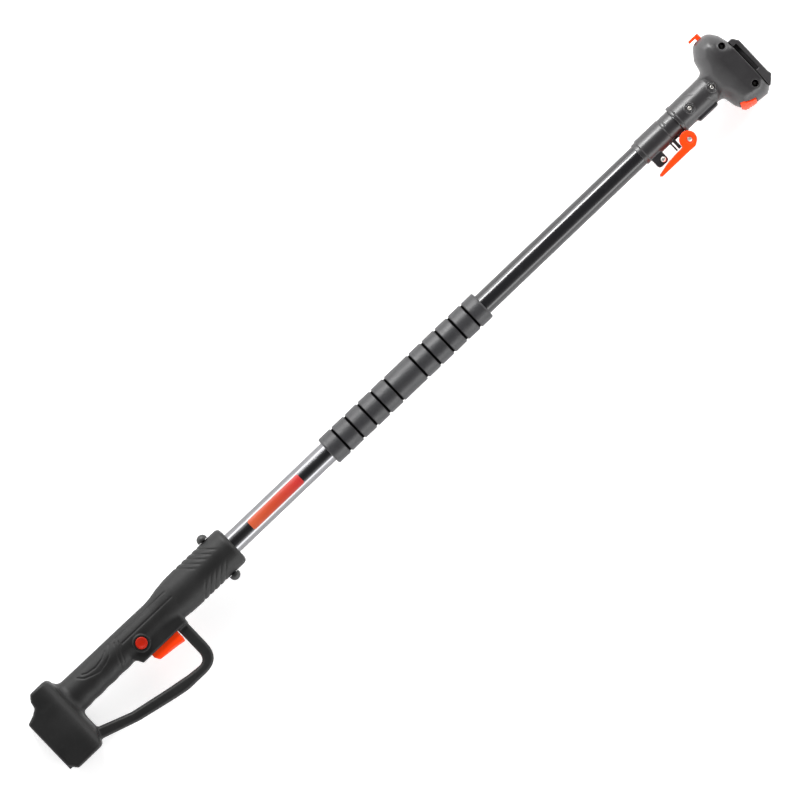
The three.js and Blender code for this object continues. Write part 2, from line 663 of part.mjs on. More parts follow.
function headBody() {
  const neck = spun([
    [neckStart, 0], [neckStart, neckRadius - 0.6], [neckStart + 1, neckRadius], [neckStart + 4, neckRadius],
    [neckStart + 5, neckRadius - 0.8], [headBack - 20, neckRadius - 0.6], [headBack + 6, neckRadius],
    [headBack + 6, 0],
  ], 36);
  const bellyOut = neckRadius + 2.8;
  const belly = softSlab([[neckStart + 17, 8, 0], [neckStart + 21, bellyOut, 3], [headBack - 10, bellyOut, 3],
    [headBack - 6, 8, 0]], -9, 9, 3);
  const bosses = neckScrewAlong.map((along) =>
    post(along, neckScrewAcross, neckBoss, 5, neckRadius + 0.6, 20));
  const outside = joined([neck, belly, headForm(0), ...bosses]);
  const inside = headForm(-4);
  const columns = joined(plateScrews.map(([along, across]) =>
    post(along, across, 6, -headHalf + 1, headHalf - 1)));
  const buttonFrame = flankBox(latchHalf + 3, latchSpringEnd + 2, 6, headHalf - 2);
  const frameHalf = hookHalf + 4;
  const hookFrame = block(hookAlong - frameHalf, hookAlong + frameHalf, -49, hookSpringEnd + 3, -13, 13);
  const frames = joined([columns, buttonFrame, hookFrame]).intersect(outside);
  const legRooms = plateScrews.map(([along, across]) =>
    block(along - 8 - gap, headFront + 1, across - 6 - gap, across + 6 + gap, -6 - gap, 6 + gap));
  return cutAway(outside, [
    inside.subtract(frames),
    rod(innerRadius + gap, neckStart - 1, innerTubeEnd + gap),
    rod(9, innerTubeEnd - 1, headBack + 12, 16),
    ...legRooms,
    flankBox(latchHalf + runGap, latchDeep + latchTravel + 1, 12, latchHigh + runGap)
      .subtract(headForm(-latchThickness).translate([
        (latchTravel + 1) * Math.sin(buttonSlope), (latchTravel + 1) * Math.cos(buttonSlope), 0,
      ])),
    flankRod(4.2, 0, latchSpringEnd),
    block(hookAlong - hookHalf - runGap, hookAlong + hookHalf + runGap, -60, hookRoot + hookTravel + 1,
      -hookHigh - runGap, hookHigh + runGap),
    solid(new THREE.CylinderGeometry(3.6, 3.6, 12, 12).translate(hookAlong, -(hookSpringEnd - 6), 0)),
    block(headFront - 8, headFront + 1, -16, 20, -holderHalf, holderHalf),
    ...neckScrewAlong.map((along, i) =>
      screwBore(along, neckScrewAcross, neckLedge, neckScrewLengths[i] + 0.8, -1, 10)),
    ...plateScrews.map(([along, across]) => screwBore(along, across, plateLedge, 22, -1, headHalf)),
  ]);
}
const head = headBody();
piece('head_shell_right', slice(head, gap / 2, 60), 'headPlastic', mast);
piece('head_shell_left', slice(head, -60, -gap / 2), 'headPlastic', mast);
neckScrewAlong.forEach((along, i) => {
  const body = screw(along, neckScrewAcross, neckLedge, neckScrewLengths[i], -1);
  piece(`neck_screw_${i + 1}`, body, 'steel', mast);
});
plateScrews.forEach(([along, across], i) => {
  piece(`head_screw_${i + 1}`, screw(along, across, plateLedge, 21, -1), 'steel', mast);
});

// The plate that the cutting tool slides on to: a groove for the tool's jaws behind each end of it, a
// window for the tool's plug, and two legs that the head grips.
const jawGroove = 5.6;
const jawDepth = 10;
const plugHalf = 14;

function toolPlate() {
  const face = headFront + gap;
  const rim = [
    [face, -25.2, 0], [headFront + 8, -25.2, 5], [headFront + 11.6, -15, 4], [headFront + 11.6, 38, 3],
    [face, 48.5, 0],
  ];
  const legs = plateScrews.map(([along, across]) =>
    block(along - 8, face + 1, Math.max(across - 6, -25), across + 6, -6, 6));
  const plateHalf = headHalf - plateRim;
  return cutAway(joined([softSlab(rim, -plateHalf, plateHalf, 1), ...legs]), [
    block(face - 1, headFront + jawGroove, -17, 23, plateHalf - jawDepth, 60),
    block(face - 1, headFront + jawGroove, -17, 23, -60, jawDepth - plateHalf),
    block(face - 1, headFront + 13, -10, 12, -plugHalf, plugHalf),
    ...plateScrews.map(([along, across]) => post(along, across, screwHole, -20, 20, 8)),
  ]);
}
piece('tool_plate', toolPlate(), 'platePlastic', mast);

piece('head_terminal_holder', block(headFront - 8 + gap, headFront - 2, -16 + gap, 20 - gap, gap - holderHalf,
  holderHalf - gap), 'blackRubber', mast);
[-10, 0, 10].forEach((z, i) => {
  const blade = block(headFront - 2 + gap, headFront + 4, -8, 10, z - bladeHalf, z + bladeHalf);
  piece(`head_terminal_${i + 1}`, blade, 'brass', mast);
});
const headLeadRoute = [[coilEnd + 1, 0, 0], [headBack + 12, 0, 0], [headFront - 8.6, 2, 0]];
piece('head_lead', lead(headLeadRoute, leadRadius, 10), 'blackRubber', mast);
const latchCap = flankBox(latchHalf, latchDeep, 12, latchHigh)
  .intersect(headForm(latchProud))
  .subtract(headForm(-latchThickness));
piece('latch_button', latchCap, 'orangePlastic', mast);
piece('latch_spring', flankRod(3.5, latchThickness + gap, latchSpringEnd - gap), 'steel', mast);

// A tab that stands out of the head's back and turns to the foot's end.
function hookTab() {
  const tip = -58.2;
  return slab([
    [hookAlong + hookHalf, hookRoot, 0], [hookAlong + hookHalf, tip, 1.5], [hookAlong - 12, tip, 1],
    [hookAlong - 12, tip + 3.4, 0.5], [hookAlong - hookHalf, tip + 3.4, 0],
    [hookAlong - hookHalf, hookRoot, 0],
  ], -hookHigh, hookHigh, 2);
}
piece('latch_hook', hookTab(), 'orangePlastic', mast);
piece('hook_spring', solid(new THREE.CylinderGeometry(3, 3, hookSpringEnd - hookRoot - 2 * gap, 12)
  .translate(hookAlong, -(hookRoot + hookSpringEnd) / 2, 0)), 'steel', mast);

// ---------------------------------------------------------------- place the origin

const box = new THREE.Box3().setFromObject(pole);
pole.position.set(-(box.min.x + box.max.x) / 2, -(box.min.y + box.max.y) / 2, -box.min.z);

const tool = new THREE.Group();
tool.add(pole);

export default tool;
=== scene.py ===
import math

import bmesh
import bpy
import numpy as np
import openvdb
from mathutils import Matrix, Vector


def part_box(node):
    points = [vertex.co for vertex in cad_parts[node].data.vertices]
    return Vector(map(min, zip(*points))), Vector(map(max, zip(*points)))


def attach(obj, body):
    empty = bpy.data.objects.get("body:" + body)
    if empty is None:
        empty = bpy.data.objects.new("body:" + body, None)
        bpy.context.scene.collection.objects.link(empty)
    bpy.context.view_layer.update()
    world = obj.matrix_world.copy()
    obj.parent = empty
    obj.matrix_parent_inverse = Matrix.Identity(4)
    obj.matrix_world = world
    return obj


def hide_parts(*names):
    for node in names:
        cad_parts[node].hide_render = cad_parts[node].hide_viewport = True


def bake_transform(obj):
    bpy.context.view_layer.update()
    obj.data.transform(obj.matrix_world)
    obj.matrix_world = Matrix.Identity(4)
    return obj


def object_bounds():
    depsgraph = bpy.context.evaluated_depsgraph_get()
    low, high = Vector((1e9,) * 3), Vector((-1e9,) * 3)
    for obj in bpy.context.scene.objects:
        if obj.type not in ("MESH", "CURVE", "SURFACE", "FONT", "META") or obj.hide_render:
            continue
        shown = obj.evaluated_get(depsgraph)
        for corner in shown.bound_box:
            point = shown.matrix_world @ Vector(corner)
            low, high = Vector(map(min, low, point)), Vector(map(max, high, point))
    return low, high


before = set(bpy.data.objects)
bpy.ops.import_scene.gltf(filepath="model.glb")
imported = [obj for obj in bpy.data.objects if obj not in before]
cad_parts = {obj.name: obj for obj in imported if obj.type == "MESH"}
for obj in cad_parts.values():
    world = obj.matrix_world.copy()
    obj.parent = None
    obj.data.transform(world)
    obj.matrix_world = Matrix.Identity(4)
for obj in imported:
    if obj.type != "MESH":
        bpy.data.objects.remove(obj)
cad_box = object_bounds()


# ------------------------------------------------------------------ camera and studio
# The tool lies on its left side on a pale sweep of paper. The camera stands high over the tubes and is
# turned so that the pole climbs across the frame from the battery foot to the tool head. Two long soft
# boxes run along the pole, and a dome of light that is brighter near the floor fills the flanks.

foot_end = cad_box[0].x
tube_low, tube_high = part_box("outer_tube")
pole_y = (tube_low.y + tube_high.y) / 2
pole_z = (tube_low.z + tube_high.z) / 2


def place(along, across, out):
    """A point of the tool: mm from the foot's end face, mm to the guard side, mm to the right-hand side."""
    return Vector((foot_end + along / 1000, pole_y - across / 1000, pole_z + out / 1000))


def aim(thing, target, lean):
    """Turns a lamp or camera to a point, with the pole's direction leaning so many degrees up its frame."""
    ahead = (target - thing.location).normalized()
    pole = Vector((1, 0, 0))
    level = (pole - ahead * pole.dot(ahead)).normalized()
    right = Matrix.Rotation(-math.radians(lean), 3, -ahead) @ level
    up = (-ahead).cross(right)
    thing.rotation_euler = Matrix((right, up, -ahead)).transposed().to_euler()


camera_data = bpy.data.cameras.new("camera")
camera_data.lens = 749
camera_data.sensor_width = 36
camera_data.clip_end = 60
camera = bpy.data.objects.new("camera", camera_data)
bpy.context.scene.collection.objects.link(camera)
camera.location = place(560, 14.4, 20000)
aim(camera, place(592, 14.4, 0), 43.65)
bpy.context.scene.camera = camera


def soft_box(name, along, across, out, size, power):
    """A rectangular lamp at a point of the tool, turned to the pole."""
    lamp = bpy.data.lights.new(name, "AREA")
    lamp.shape = "RECTANGLE"
    lamp.size, lamp.size_y = size
    lamp.energy = power
    lamp_object = bpy.data.objects.new(name, lamp)
    bpy.context.scene.collection.objects.link(lamp_object)
    lamp_object.location = place(along, across, out)
    aim(lamp_object, place(along, 0, 0), 0)


soft_box("back_soft_box", 550, -1700, 700, (2.6, 0.55), 20)
soft_box("guard_soft_box", 550, 1700, 700, (2.6, 0.55), 17)
soft_box("upper_tube_strip", 1000, -1500, 1250, (0.72, 0.42), 34)
soft_box("head_soft_box", 2300, -300, 900, (0.7, 0.7), 14)

world = bpy.data.worlds.new("studio_dome")
world.use_nodes = True
bpy.context.scene.world = world
links = world.node_tree.links
nodes = world.node_tree.nodes
direction = nodes.new("ShaderNodeTexCoord")
height = nodes.new("ShaderNodeSeparateXYZ")
dome = nodes.new("ShaderNodeValToRGB")
dome.color_ramp.elements[0].color = (1.0, 1.0, 1.0, 1)
dome.color_ramp.elements[1].color = (0.025, 0.025, 0.026, 1)
for height_up, level in ((0.3, 0.85), (0.6, 0.3), (0.84, 0.05)):
    dome.color_ramp.elements.new(height_up).color = (level, level, level, 1)
links.new(direction.outputs["Generated"], height.inputs[0])
links.new(height.outputs["Z"], dome.inputs["Fac"])
links.new(dome.outputs["Color"], nodes["Background"].inputs["Color"])
nodes["Background"].inputs["Strength"].default_value = 2.3
bpy.context.scene.view_settings.view_transform = "Standard"

bpy.ops.mesh.primitive_plane_add(size=14, location=(0, 0, 0))
floor = bpy.context.object
floor.name = "floor"
paper = bpy.data.materials.new("pale_paper")
paper.use_nodes = True
paper_shader = paper.node_tree.nodes["Principled BSDF"]
paper_shader.inputs["Base Color"].default_value = (0.86, 0.86, 0.86, 1)
paper_shader.inputs["Roughness"].default_value = 0.9
paper_shader.inputs["Specular IOR Level"].default_value = 0.2
paper_shader.inputs["Emission Color"].default_value = (1, 1, 1, 1)
paper_shader.inputs["Emission Strength"].default_value = 0.42
floor.data.materials.append(paper)


# ------------------------------------------------------------------ handle shells with the hand guard
# Two half shells of black glass-filled nylon, injection moulded with a fine spark-eroded grain and
# screwed together on the middle plane. They hold the trigger, the lock button and the tube's lower end.
# Grip lines are cut into the grip, and rows of chevron ribs run round the swell in front.


def outline_distance(points, x, y):
    """Signed distance from each place of the flat grid to a closed outline, negative inside it."""
    corners = np.array(points, np.float32)
    best = np.full(np.broadcast(x, y).shape, 1e9, np.float32)
    inside = np.zeros(best.shape, bool)
    for (ax, ay), (bx, by) in zip(corners, np.roll(corners, -1, 0)):
        ex, ey = bx - ax, by - ay
        t = np.clip(((x - ax) * ex + (y - ay) * ey) / (ex * ex + ey * ey + 1e-9), 0, 1)
        best = np.minimum(best, (x - ax - t * ex) ** 2 + (y - ay - t * ey) ** 2)
        crosses = (ay > y) != (by > y)
        inside ^= crosses & (x < ex * (y - ay) / (ey if ey else 1e-9) + ax)
    return np.where(inside, -1, 1) * np.sqrt(best)


def path_distance(points, x, y):
    """Distance from each place of the flat grid to an open path."""
    best = np.full(np.broadcast(x, y).shape, 1e9, np.float32)
    for (ax, ay), (bx, by) in zip(points, points[1:]):
        ex, ey = bx - ax, by - ay
        t = np.clip(((x - ax) * ex + (y - ay) * ey) / (ex * ex + ey * ey), 0, 1)
        best = np.minimum(best, (x - ax - t * ex) ** 2 + (y - ay - t * ey) ** 2)
    return np.sqrt(best)


def rounded(points, steps=8):
    """An outline of [along, across, corner radius] points, its corners rounded off."""
    at = [Vector(p[:2]) for p in points]
    edge = []
    for i, corner in enumerate(at):
        back = at[i - 1] - corner
        ahead = at[(i + 1) % len(at)] - corner
        radius = points[i][2] if len(points[i]) > 2 else 0
        reach = min(radius / math.tan(back.angle(ahead) / 2), 0.48 * back.length, 0.48 * ahead.length)
        if reach < 0.1:
            edge.append(tuple(corner))
            continue
        start = corner + back.normalized() * reach
        end = corner + ahead.normalized() * reach
        for k in range(steps + 1):
            t = k / steps
            edge.append(tuple(start * (1 - t) ** 2 + corner * 2 * t * (1 - t) + end * t * t))
    return edge


def drawn_out(flat, z, half, rim):
    """A flat outline's distance made a slab of twice that half thickness, with rims of that radius."""
    side = flat[..., None] + rim
    top = np.abs(z) - half + rim
    return np.minimum(np.maximum(side, top), 0) + np.hypot(np.maximum(side, 0), np.maximum(top, 0)) - rim


def join(a, b, soft):
    """The union of two distances, its inner corner filled with a fillet of about that radius."""
    h = np.clip(0.5 + 0.5 * (b - a) / soft, 0, 1)
    return b * (1 - h) + a * h - soft * h * (1 - h)


def cut(a, b, soft=0.3):
    """What is left of a when b is cut out of it, with a slightly broken edge."""
    return -join(-a, b, soft)


def as_object(name, mesh, crease=None):
    """Shades a mesh smooth, but for creases over so many degrees, and puts it in the scene."""
    mesh.shade_smooth()
    if crease:
        mesh.set_sharp_from_angle(angle=math.radians(crease))
    made = bpy.data.objects.new(name, mesh)
    bpy.context.scene.collection.objects.link(made)
    return made


def worked(name, work, crease):
    """Ends the work on a mesh and puts it in the scene."""
    mesh = bpy.data.meshes.new(name)
    work.to_mesh(mesh)
    work.free()
    return as_object(name, mesh, crease)


def cast(name, low, high, step, shape):
    """A fine mesh of a shape given as distances in mm, over a box of the tool, as an object."""
    low = np.array(low, np.float32) - 2.5 * step
    count = np.ceil((np.array(high) + 2.5 * step - low) / step).astype(int)
    x, y, z = (low[i] + step * np.arange(count[i], dtype=np.float32) for i in range(3))
    field = shape(x[:, None, None], y[None, :, None], z[None, None, :])
    band = 3 * step
    grid = openvdb.FloatGrid(band)
    grid.copyFromArray(np.clip(field, -band, band).astype(np.float32))
    corners, quads = grid.convertToQuads(isovalue=0.0)
    corners = corners * step + low
    corners[:, 1] *= -1
    corners = corners / 1000 + np.array(place(0, 0, 0))
    a, b, c, d = (corners[quads[:, i]] for i in range(4))
    if np.einsum("ij,ij->i", a, np.cross(b - a, c - a) + np.cross(c - a, d - a)).sum() < 0:
        quads = quads[:, ::-1]
    mesh = bpy.data.meshes.new(name)
    mesh.vertices.add(len(corners))
    mesh.vertices.foreach_set("co", corners.astype(np.float32).ravel())
    mesh.loops.add(quads.size)
    mesh.loops.foreach_set("vertex_index", quads.astype(np.int32).ravel())
    mesh.polygons.add(len(quads))
    mesh.polygons.foreach_set("loop_start", np.arange(0, quads.size, 4, dtype=np.int32))
    mesh.update(calc_edges=True)
    mesh.validate()
    return as_object(name, mesh)


def bar(y, z, radius, across=0.0, flatness=1.0):
    """Distance to a round bar along the pole; its radius may be one value or one for each place."""
    return (np.hypot(y - across, z / flatness) - radius) * (0.5 + 0.5 * flatness)


def standing(x, y, along, across, radius):
    """Distance to an endless round post that stands across the tool."""
    return np.hypot(x - along, y - across) - radius


def slab_cut(x, low, high):
    """Distance to an endless slab between two places."""
    return np.maximum(low - x, x - high)


def box_cut(x, y, z, along, across, half):
    """Distance to a box with those ends along and across the tool, and that half height."""
    return np.maximum(np.maximum(slab_cut(x, *along), slab_cut(y, *across)), np.abs(z) - half)


SHELL_SEAM = 0.15
GRIP_CENTRE = 0.6
handle_stations = [0, 40, 60, 80, 100, 120, 140, 165, 185, 200, 210, 222, 236, 250, 330]
handle_radii = [22, 22.3, 22.2, 21.9, 21.7, 21.6, 21.5, 21.4, 21.1, 21.0, 22.0, 24.4, 26.0, 26.5, 26.5]
foot_outline = rounded([
    (0, 57, 9), (9, 68, 5), (48, 67.8, 7), (57.5, 46, 8), (56.5, -24, 8), (52, -36.6, 9), (27, -36.6, 6),
    (21, -29, 3), (19.5, -20.5, 4), (12, -15.6, 8), (0, -11, 2.5),
])
foot_shoulder = rounded([(-40, -60), (57.5, -60), (57.5, 39, 30), (-40, 39)], 16)
housing_outline = rounded([(145, 5), (145, 19, 3), (151.5, 30.5, 2.5), (222.5, 30.5), (222.5, 5)])
guard_rim = rounded([(46, 5), (46, 60, 1), (100, 77.3, 60), (150, 87.8, 80), (168, 91, 60), (222.5, 91.2, 27),
                     (222.5, 5)])
finger_gap = rounded([(57, 5), (57, 47.5, 5), (100, 63, 60), (150, 72.6, 80), (180, 77.6, 30),
                      (207.8, 80, 12), (207.8, 5)])
curve = [(80.6, -11.4), (87, -4.8), (97, -1.2), (106, 1.8), (117, -0.6), (127, -4.2), (136, -14.4)]
grip_lines = [
    curve,
    [(88, -10), (94, -7), (106, -5.2), (118, -7.4), (127, -12)],
    [(142, -11), (136, 1), (128, 18)],
    [(147, -9), (141, 3), (134, 18)],
    [(146, -14.4), (228, -14.4)],
    [(149, -4.2), (230, -4.2)],
]
chevron_tips = [317, 308.5, 300, 291.5, 283]
handle_screw_nodes = [f"handle_screw_{i}" for i in range(1, 9)]


def tool_mm(point):
    """A row-frame point as the tool's own (along, across, out) in mm."""
    p = (point - place(0, 0, 0)) * 1000
    return p.x, -p.y, p.z


def node_centre(node):
    low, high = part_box(node)
    return tool_mm((low + high) / 2)


def node_ends(node):
    return [tool_mm(p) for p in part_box(node)]


def handle_shape(x, y, z):
    radius = np.interp(x, handle_stations, handle_radii).astype(np.float32)
    flat = (x[..., 0], y[..., 0])
    ripple = 0.35 * np.cos((x - 57) * 2 * np.pi / 22) * np.clip((y - 5) / 12, 0, 1) * (x < 146) * (x > 57)
    body = bar(y, z, radius - ripple, GRIP_CENTRE, 0.87)
    body = -join(-body, 327.3 - x, 7)
    body = np.maximum(body, 36 - x)
    foot = drawn_out(outline_distance(foot_outline, *flat), z, 39, 4)
    shoulder = outline_distance(foot_shoulder, x[:, 0, :], np.abs(z[:, 0, :]))[:, None, :]
    body = join(body, -join(-foot, -shoulder, 5), 9)
    body = join(body, drawn_out(outline_distance(housing_outline, *flat), z, 14.5, 3), 3)
    ring = np.maximum(outline_distance(guard_rim, *flat), -outline_distance(finger_gap, *flat))
    body = join(body, drawn_out(ring, z, 8, 4.5), 4)
    button_at = standing(x, y, *node_centre("lock_button")[:2], 0)
    body = join(body, np.maximum(button_at - 10.5, np.maximum(z - 20, 5 - z)), 1.6)
    marks = np.zeros(body.shape[:2], np.float32)
    for line in grip_lines:
        marks += 0.75 * np.exp(-((path_distance(line, *flat) / 0.9) ** 2))
    spread = np.abs(flat[1] - GRIP_CENTRE)
    fade = np.clip((spread - 7) / 8, 0, 1)
    for tip in chevron_tips:
        off = np.abs(flat[0] + spread - tip) * math.sqrt(0.5)
        marks += fade * 0.8 * np.exp(-((off / 1.1) ** 2)) * (flat[0] > 255)
    body = body + marks[..., None]
    well_low, well_high = node_ends("trigger")
    body = cut(body, box_cut(x, y, z, (well_low[0] - 0.6, well_high[0] + 0.6), (14, 33), 8.4), 0.5)
    body = cut(body, np.maximum(bar(y, z, 14.25), 224.6 - x), 0.6)
    lock_floor = tool_mm(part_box("lock_button")[0])[2] - 3.8
    body = cut(body, np.maximum(button_at - 7.8, lock_floor - z), 0.5)
    dock_low, dock_high = node_ends("battery_dock")
    pocket = np.maximum(np.abs(z) - dock_high[2] - 0.3, slab_cut(y, dock_high[1] - 0.3, dock_low[1] + 0.3))
    body = cut(body, np.maximum(pocket, x - dock_high[0] - 0.3), 0.4)
    rail_way = np.maximum(np.abs(z) - 29, slab_cut(y, 6, 80))
    body = cut(body, np.maximum(rail_way, x - 20), 0.4)
    for node in handle_screw_nodes:
        along, across, _ = node_centre(node)
        low = tool_mm(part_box(node)[0])[2]
        body = cut(body, np.maximum(standing(x, y, along, across, 3.3), z - low - 2.7), 0.4)
    for node in ("strap_stud_guard", "strap_stud_back"):
        along, across, _ = node_centre(node)
        hole = np.hypot(x - along, z) - 3.7
        body = cut(body, np.maximum(hole, 18 - y * np.sign(across)), 0.3)
    return body


def right_half(shape):
    return lambda x, y, z: np.maximum(shape(x, y, z), SHELL_SEAM - z)


def left_half(shape):
    return lambda x, y, z: np.maximum(shape(x, y, z), z + SHELL_SEAM)


def new_group(name, inputs, outputs):
    """A shader node group with number inputs and their defaults, and named outputs."""
    group = bpy.data.node_groups.new(name, "ShaderNodeTree")
    for label, default in inputs:
        socket = group.interface.new_socket(label, in_out="INPUT", socket_type="NodeSocketFloat")
        socket.default_value = default
    for label, kind in outputs:
        group.interface.new_socket(label, in_out="OUTPUT", socket_type=kind)
    return group, group.nodes.new("NodeGroupInput"), group.nodes.new("NodeGroupOutput")


def add(tree, kind, settings=None, **values):
    """A node with its settings and the values of its inputs; a value that is a socket is linked."""
    node = tree.nodes.new(kind)
    for key, value in (settings or {}).items():
        setattr(node, key, value)
    for key, value in values.items():
        numbered = key[0] == "i" and key[1:].isdigit()
        socket = node.inputs[int(key[1:]) if numbered else key.replace("_", " ")]
        if isinstance(value, bpy.types.NodeSocket):
            tree.links.new(value, socket)
        else:
            socket.default_value = value
    return node


def maths(tree, operation, a, b=0.0):
    """The result of a sum on two numbers or sockets."""
    return add(tree, "ShaderNodeMath", {"operation": operation}, i0=a, i1=b).outputs[0]


def new_material(name):
    """A new material, its node tree and its shader."""
    material = bpy.data.materials.new(name)
    material.use_nodes = True
    return material, material.node_tree, material.node_tree.nodes["Principled BSDF"]


def mixed(tree, amount, first, second):
    """Two colours mixed by an amount; each is its three values or another node's result."""
    mix = add(tree, "ShaderNodeMix", {"data_type": "RGBA"}, i0=amount)
    for index, colour in ((6, first), (7, second)):
        if isinstance(colour, tuple):
            mix.inputs[index].default_value = (*colour, 1)
        else:
            tree.links.new(colour, mix.inputs[index])
    return mix.outputs[2]


def connect(tree, shader, colour, gloss, height, strength, distance):
    """Gives a shader its colour, its roughness, and a bump of that strength and depth."""
    bump = add(tree, "ShaderNodeBump", Height=height, Strength=strength, Distance=distance)
    tree.links.new(colour, shader.inputs["Base Color"])
    tree.links.new(gloss.outputs[0], shader.inputs["Roughness"])
    tree.links.new(bump.outputs[0], shader.inputs["Normal"])


def moulded_surface_group():
    """Fine grain of a spark-eroded mould, slow tone change, and faint rubbed patches."""
    group, given, result = new_group(
        "moulded_surface",
        [("Grain", 2600.0), ("Patch", 22.0), ("Rub", 0.25)],
        [("Height", "NodeSocketFloat"), ("Tone", "NodeSocketFloat"), ("Rubbed", "NodeSocketFloat")],
    )
    where = add(group, "ShaderNodeTexCoord").outputs["Object"]
    grain = add(group, "ShaderNodeTexNoise", Vector=where, Scale=given.outputs["Grain"], Detail=2.0)
    pits = add(group, "ShaderNodeTexVoronoi", Vector=where, Scale=given.outputs["Grain"])
    height = maths(group, "ADD", grain.outputs[0], pits.outputs["Distance"])
    slow = add(group, "ShaderNodeTexNoise", Vector=where, Scale=given.outputs["Patch"], Detail=4.0,
               Roughness=0.6)
    tone = add(group, "ShaderNodeMapRange", Value=slow.outputs[0], i1=0.3, i2=0.7, i3=0.0, i4=1.0)
    scuff = add(group, "ShaderNodeTexNoise", Vector=where, Scale=90.0, Detail=6.0, Roughness=0.7)
    rub = add(group, "ShaderNodeMapRange", Value=scuff.outputs[0], i1=0.56, i2=0.78, i3=0.0, i4=1.0)
    amount = maths(group, "MULTIPLY", rub.outputs[0], given.outputs["Rub"])
    group.links.new(height, result.inputs["Height"])
    group.links.new(tone.outputs[0], result.inputs["Tone"])
    group.links.new(amount, result.inputs["Rubbed"])
    return group


moulded_surface = moulded_surface_group()


def moulded_plastic(name, dark, light, roughness, grain=2600.0, depth=0.25, rub=0.25, specular=0.5):
    """A moulded plastic: two tones of its colour, its roughness, and its grain's size and depth."""
    material, tree, shader = new_material(name)
    shader.inputs["Specular IOR Level"].default_value = specular
    surface = add(tree, "ShaderNodeGroup", {"node_tree": moulded_surface}, Grain=grain, Rub=rub)
    colour = mixed(tree, surface.outputs["Tone"], dark, light)
    worn = tuple(min(1, c * 1.5 + 0.02) for c in light)
    rubbed = mixed(tree, surface.outputs["Rubbed"], colour, worn)
    gloss = add(tree, "ShaderNodeMapRange", Value=surface.outputs["Tone"], i3=roughness - 0.05,
                i4=roughness + 0.06)
    connect(tree, shader, rubbed, gloss, surface.outputs["Height"], depth, 0.00012)
    return material


def finish_piece(made, material, body, slot, *stands_for):
    """Gives a piece its finish, the body it moves with if it is a rigid one, and the solids it stands for."""
    made.data.materials.clear()
    made.data.materials.append(material)
    if body:
        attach(made, body)
    if stands_for:
        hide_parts(*stands_for)
    return made


POLE = "handle_and_outer_tube"
handle_black = moulded_plastic("handle_black", (0.006, 0.006, 0.006), (0.009, 0.009, 0.009), 0.5,
                               specular=0.32)
HANDLE_STEP = 0.75
for side, half, low_z, high_z in (("right", right_half, 0, 39), ("left", left_half, -39, 0)):
    shell = cast(f"handle_{side}", (0, -37, low_z), (328, 92, high_z), HANDLE_STEP, half(handle_shape))
    finish_piece(shell, handle_black, POLE, "handle_plastic", f"handle_shell_{side}")


# ------------------------------------------------------------------ battery dock in the foot
# A separate black nylon block between the two shells, with a stepped slot for the battery's rails. Its
# brass blades stand in the slot on a small holder, and press into the battery as it slides in.

SHARP_FROM = math.radians(25)


def refined(name, node, bevel, segments=2):
    """A copy of a plain solid with its flat facets merged and its edges rounded by so many mm."""
    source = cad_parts[node].data
    work = bmesh.new()
    work.from_mesh(source)
    bmesh.ops.remove_doubles(work, verts=work.verts, dist=2e-5)
    bmesh.ops.dissolve_limit(work, angle_limit=math.radians(1), verts=work.verts, edges=work.edges)
    bmesh.ops.recalc_face_normals(work, faces=work.faces)
    sharp = [e for e in work.edges if len(e.link_faces) == 2 and e.calc_face_angle(0) > SHARP_FROM]
    bmesh.ops.bevel(work, geom=sharp, offset=bevel / 1000, segments=segments, profile=0.5, affect="EDGES",
                    clamp_overlap=True)
    bmesh.ops.triangulate(work, faces=[f for f in work.faces if len(f.verts) > 4])
    return worked(name, work, 32)


dock_black = moulded_plastic("dock_black", (0.012, 0.012, 0.012), (0.017, 0.017, 0.017), 0.6, depth=0.35)
nylon_black = moulded_plastic("nylon_black", (0.010, 0.010, 0.010), (0.014, 0.014, 0.014), 0.5, grain=1500.0)
finish_piece(refined("dock_block", "battery_dock", 0.8), dock_black, POLE, "dock_plastic", "battery_dock")
finish_piece(refined("dock_terminal_block", "terminal_holder", 0.5), nylon_black, POLE, "black_nylon",
             "terminal_holder")


def metal(name, dark, light, roughness, scratch=0.3, grain=1400.0):
    """A bare or plated metal with fine machining marks and slightly uneven polish."""
    material, tree, shader = new_material(name)
    shader.inputs["Metallic"].default_value = 1.0
    surface = add(tree, "ShaderNodeGroup", {"node_tree": moulded_surface}, Grain=grain, Patch=160.0, Rub=0.6)
    colour = mixed(tree, surface.outputs["Tone"], dark, light)
    gloss = add(tree, "ShaderNodeMapRange", Value=surface.outputs["Rubbed"], i3=roughness, i4=roughness + 0.2)
    connect(tree, shader, colour, gloss, surface.outputs["Height"], scratch, 0.00005)
    return material


brass = metal("blade_brass", (0.50, 0.34, 0.11), (0.62, 0.45, 0.17), 0.28)
for i in range(1, 4):
    blade = f"dock_terminal_{i}"
    finish_piece(refined(f"dock_blade_{i}", blade, 0.2), brass, POLE, "brass", blade)


# ------------------------------------------------------------------ trigger and lock button
# Both are bright orange acetal with a smooth semi-gloss finish. The trigger's finger face is hollowed a
# little and has rounded edges; the lock button is a round cap with a dished top and a broken edge.

orange = moulded_plastic("orange_acetal", (0.95, 0.042, 0.001), (1.0, 0.056, 0.002), 0.4, depth=0.08, rub=0.1,
                         specular=0.3)
button_red = moulded_plastic("lock_red", (0.34, 0.008, 0.0), (0.40, 0.011, 0.0), 0.4, depth=0.08, rub=0.1,
                             specular=0.3)
trigger_low, trigger_high = node_ends("trigger")
trigger_edge = rounded([
    (trigger_low[0], 22), (trigger_low[0], 35, 3), (trigger_low[0] + 3.4, 41.2, 4),
    (trigger_high[0] - 1, trigger_low[1], 1.5), (trigger_high[0], 40, 2), (trigger_high[0], 22),
])


def trigger_shape(x, y, z):
    blade = drawn_out(outline_distance(trigger_edge, x[..., 0], y[..., 0]), z, 8, 2.2)
    dish = np.hypot(x - 184, y - 124 + 0.04 * z * z) - 80.4
    return cut(blade, dish, 1.2)


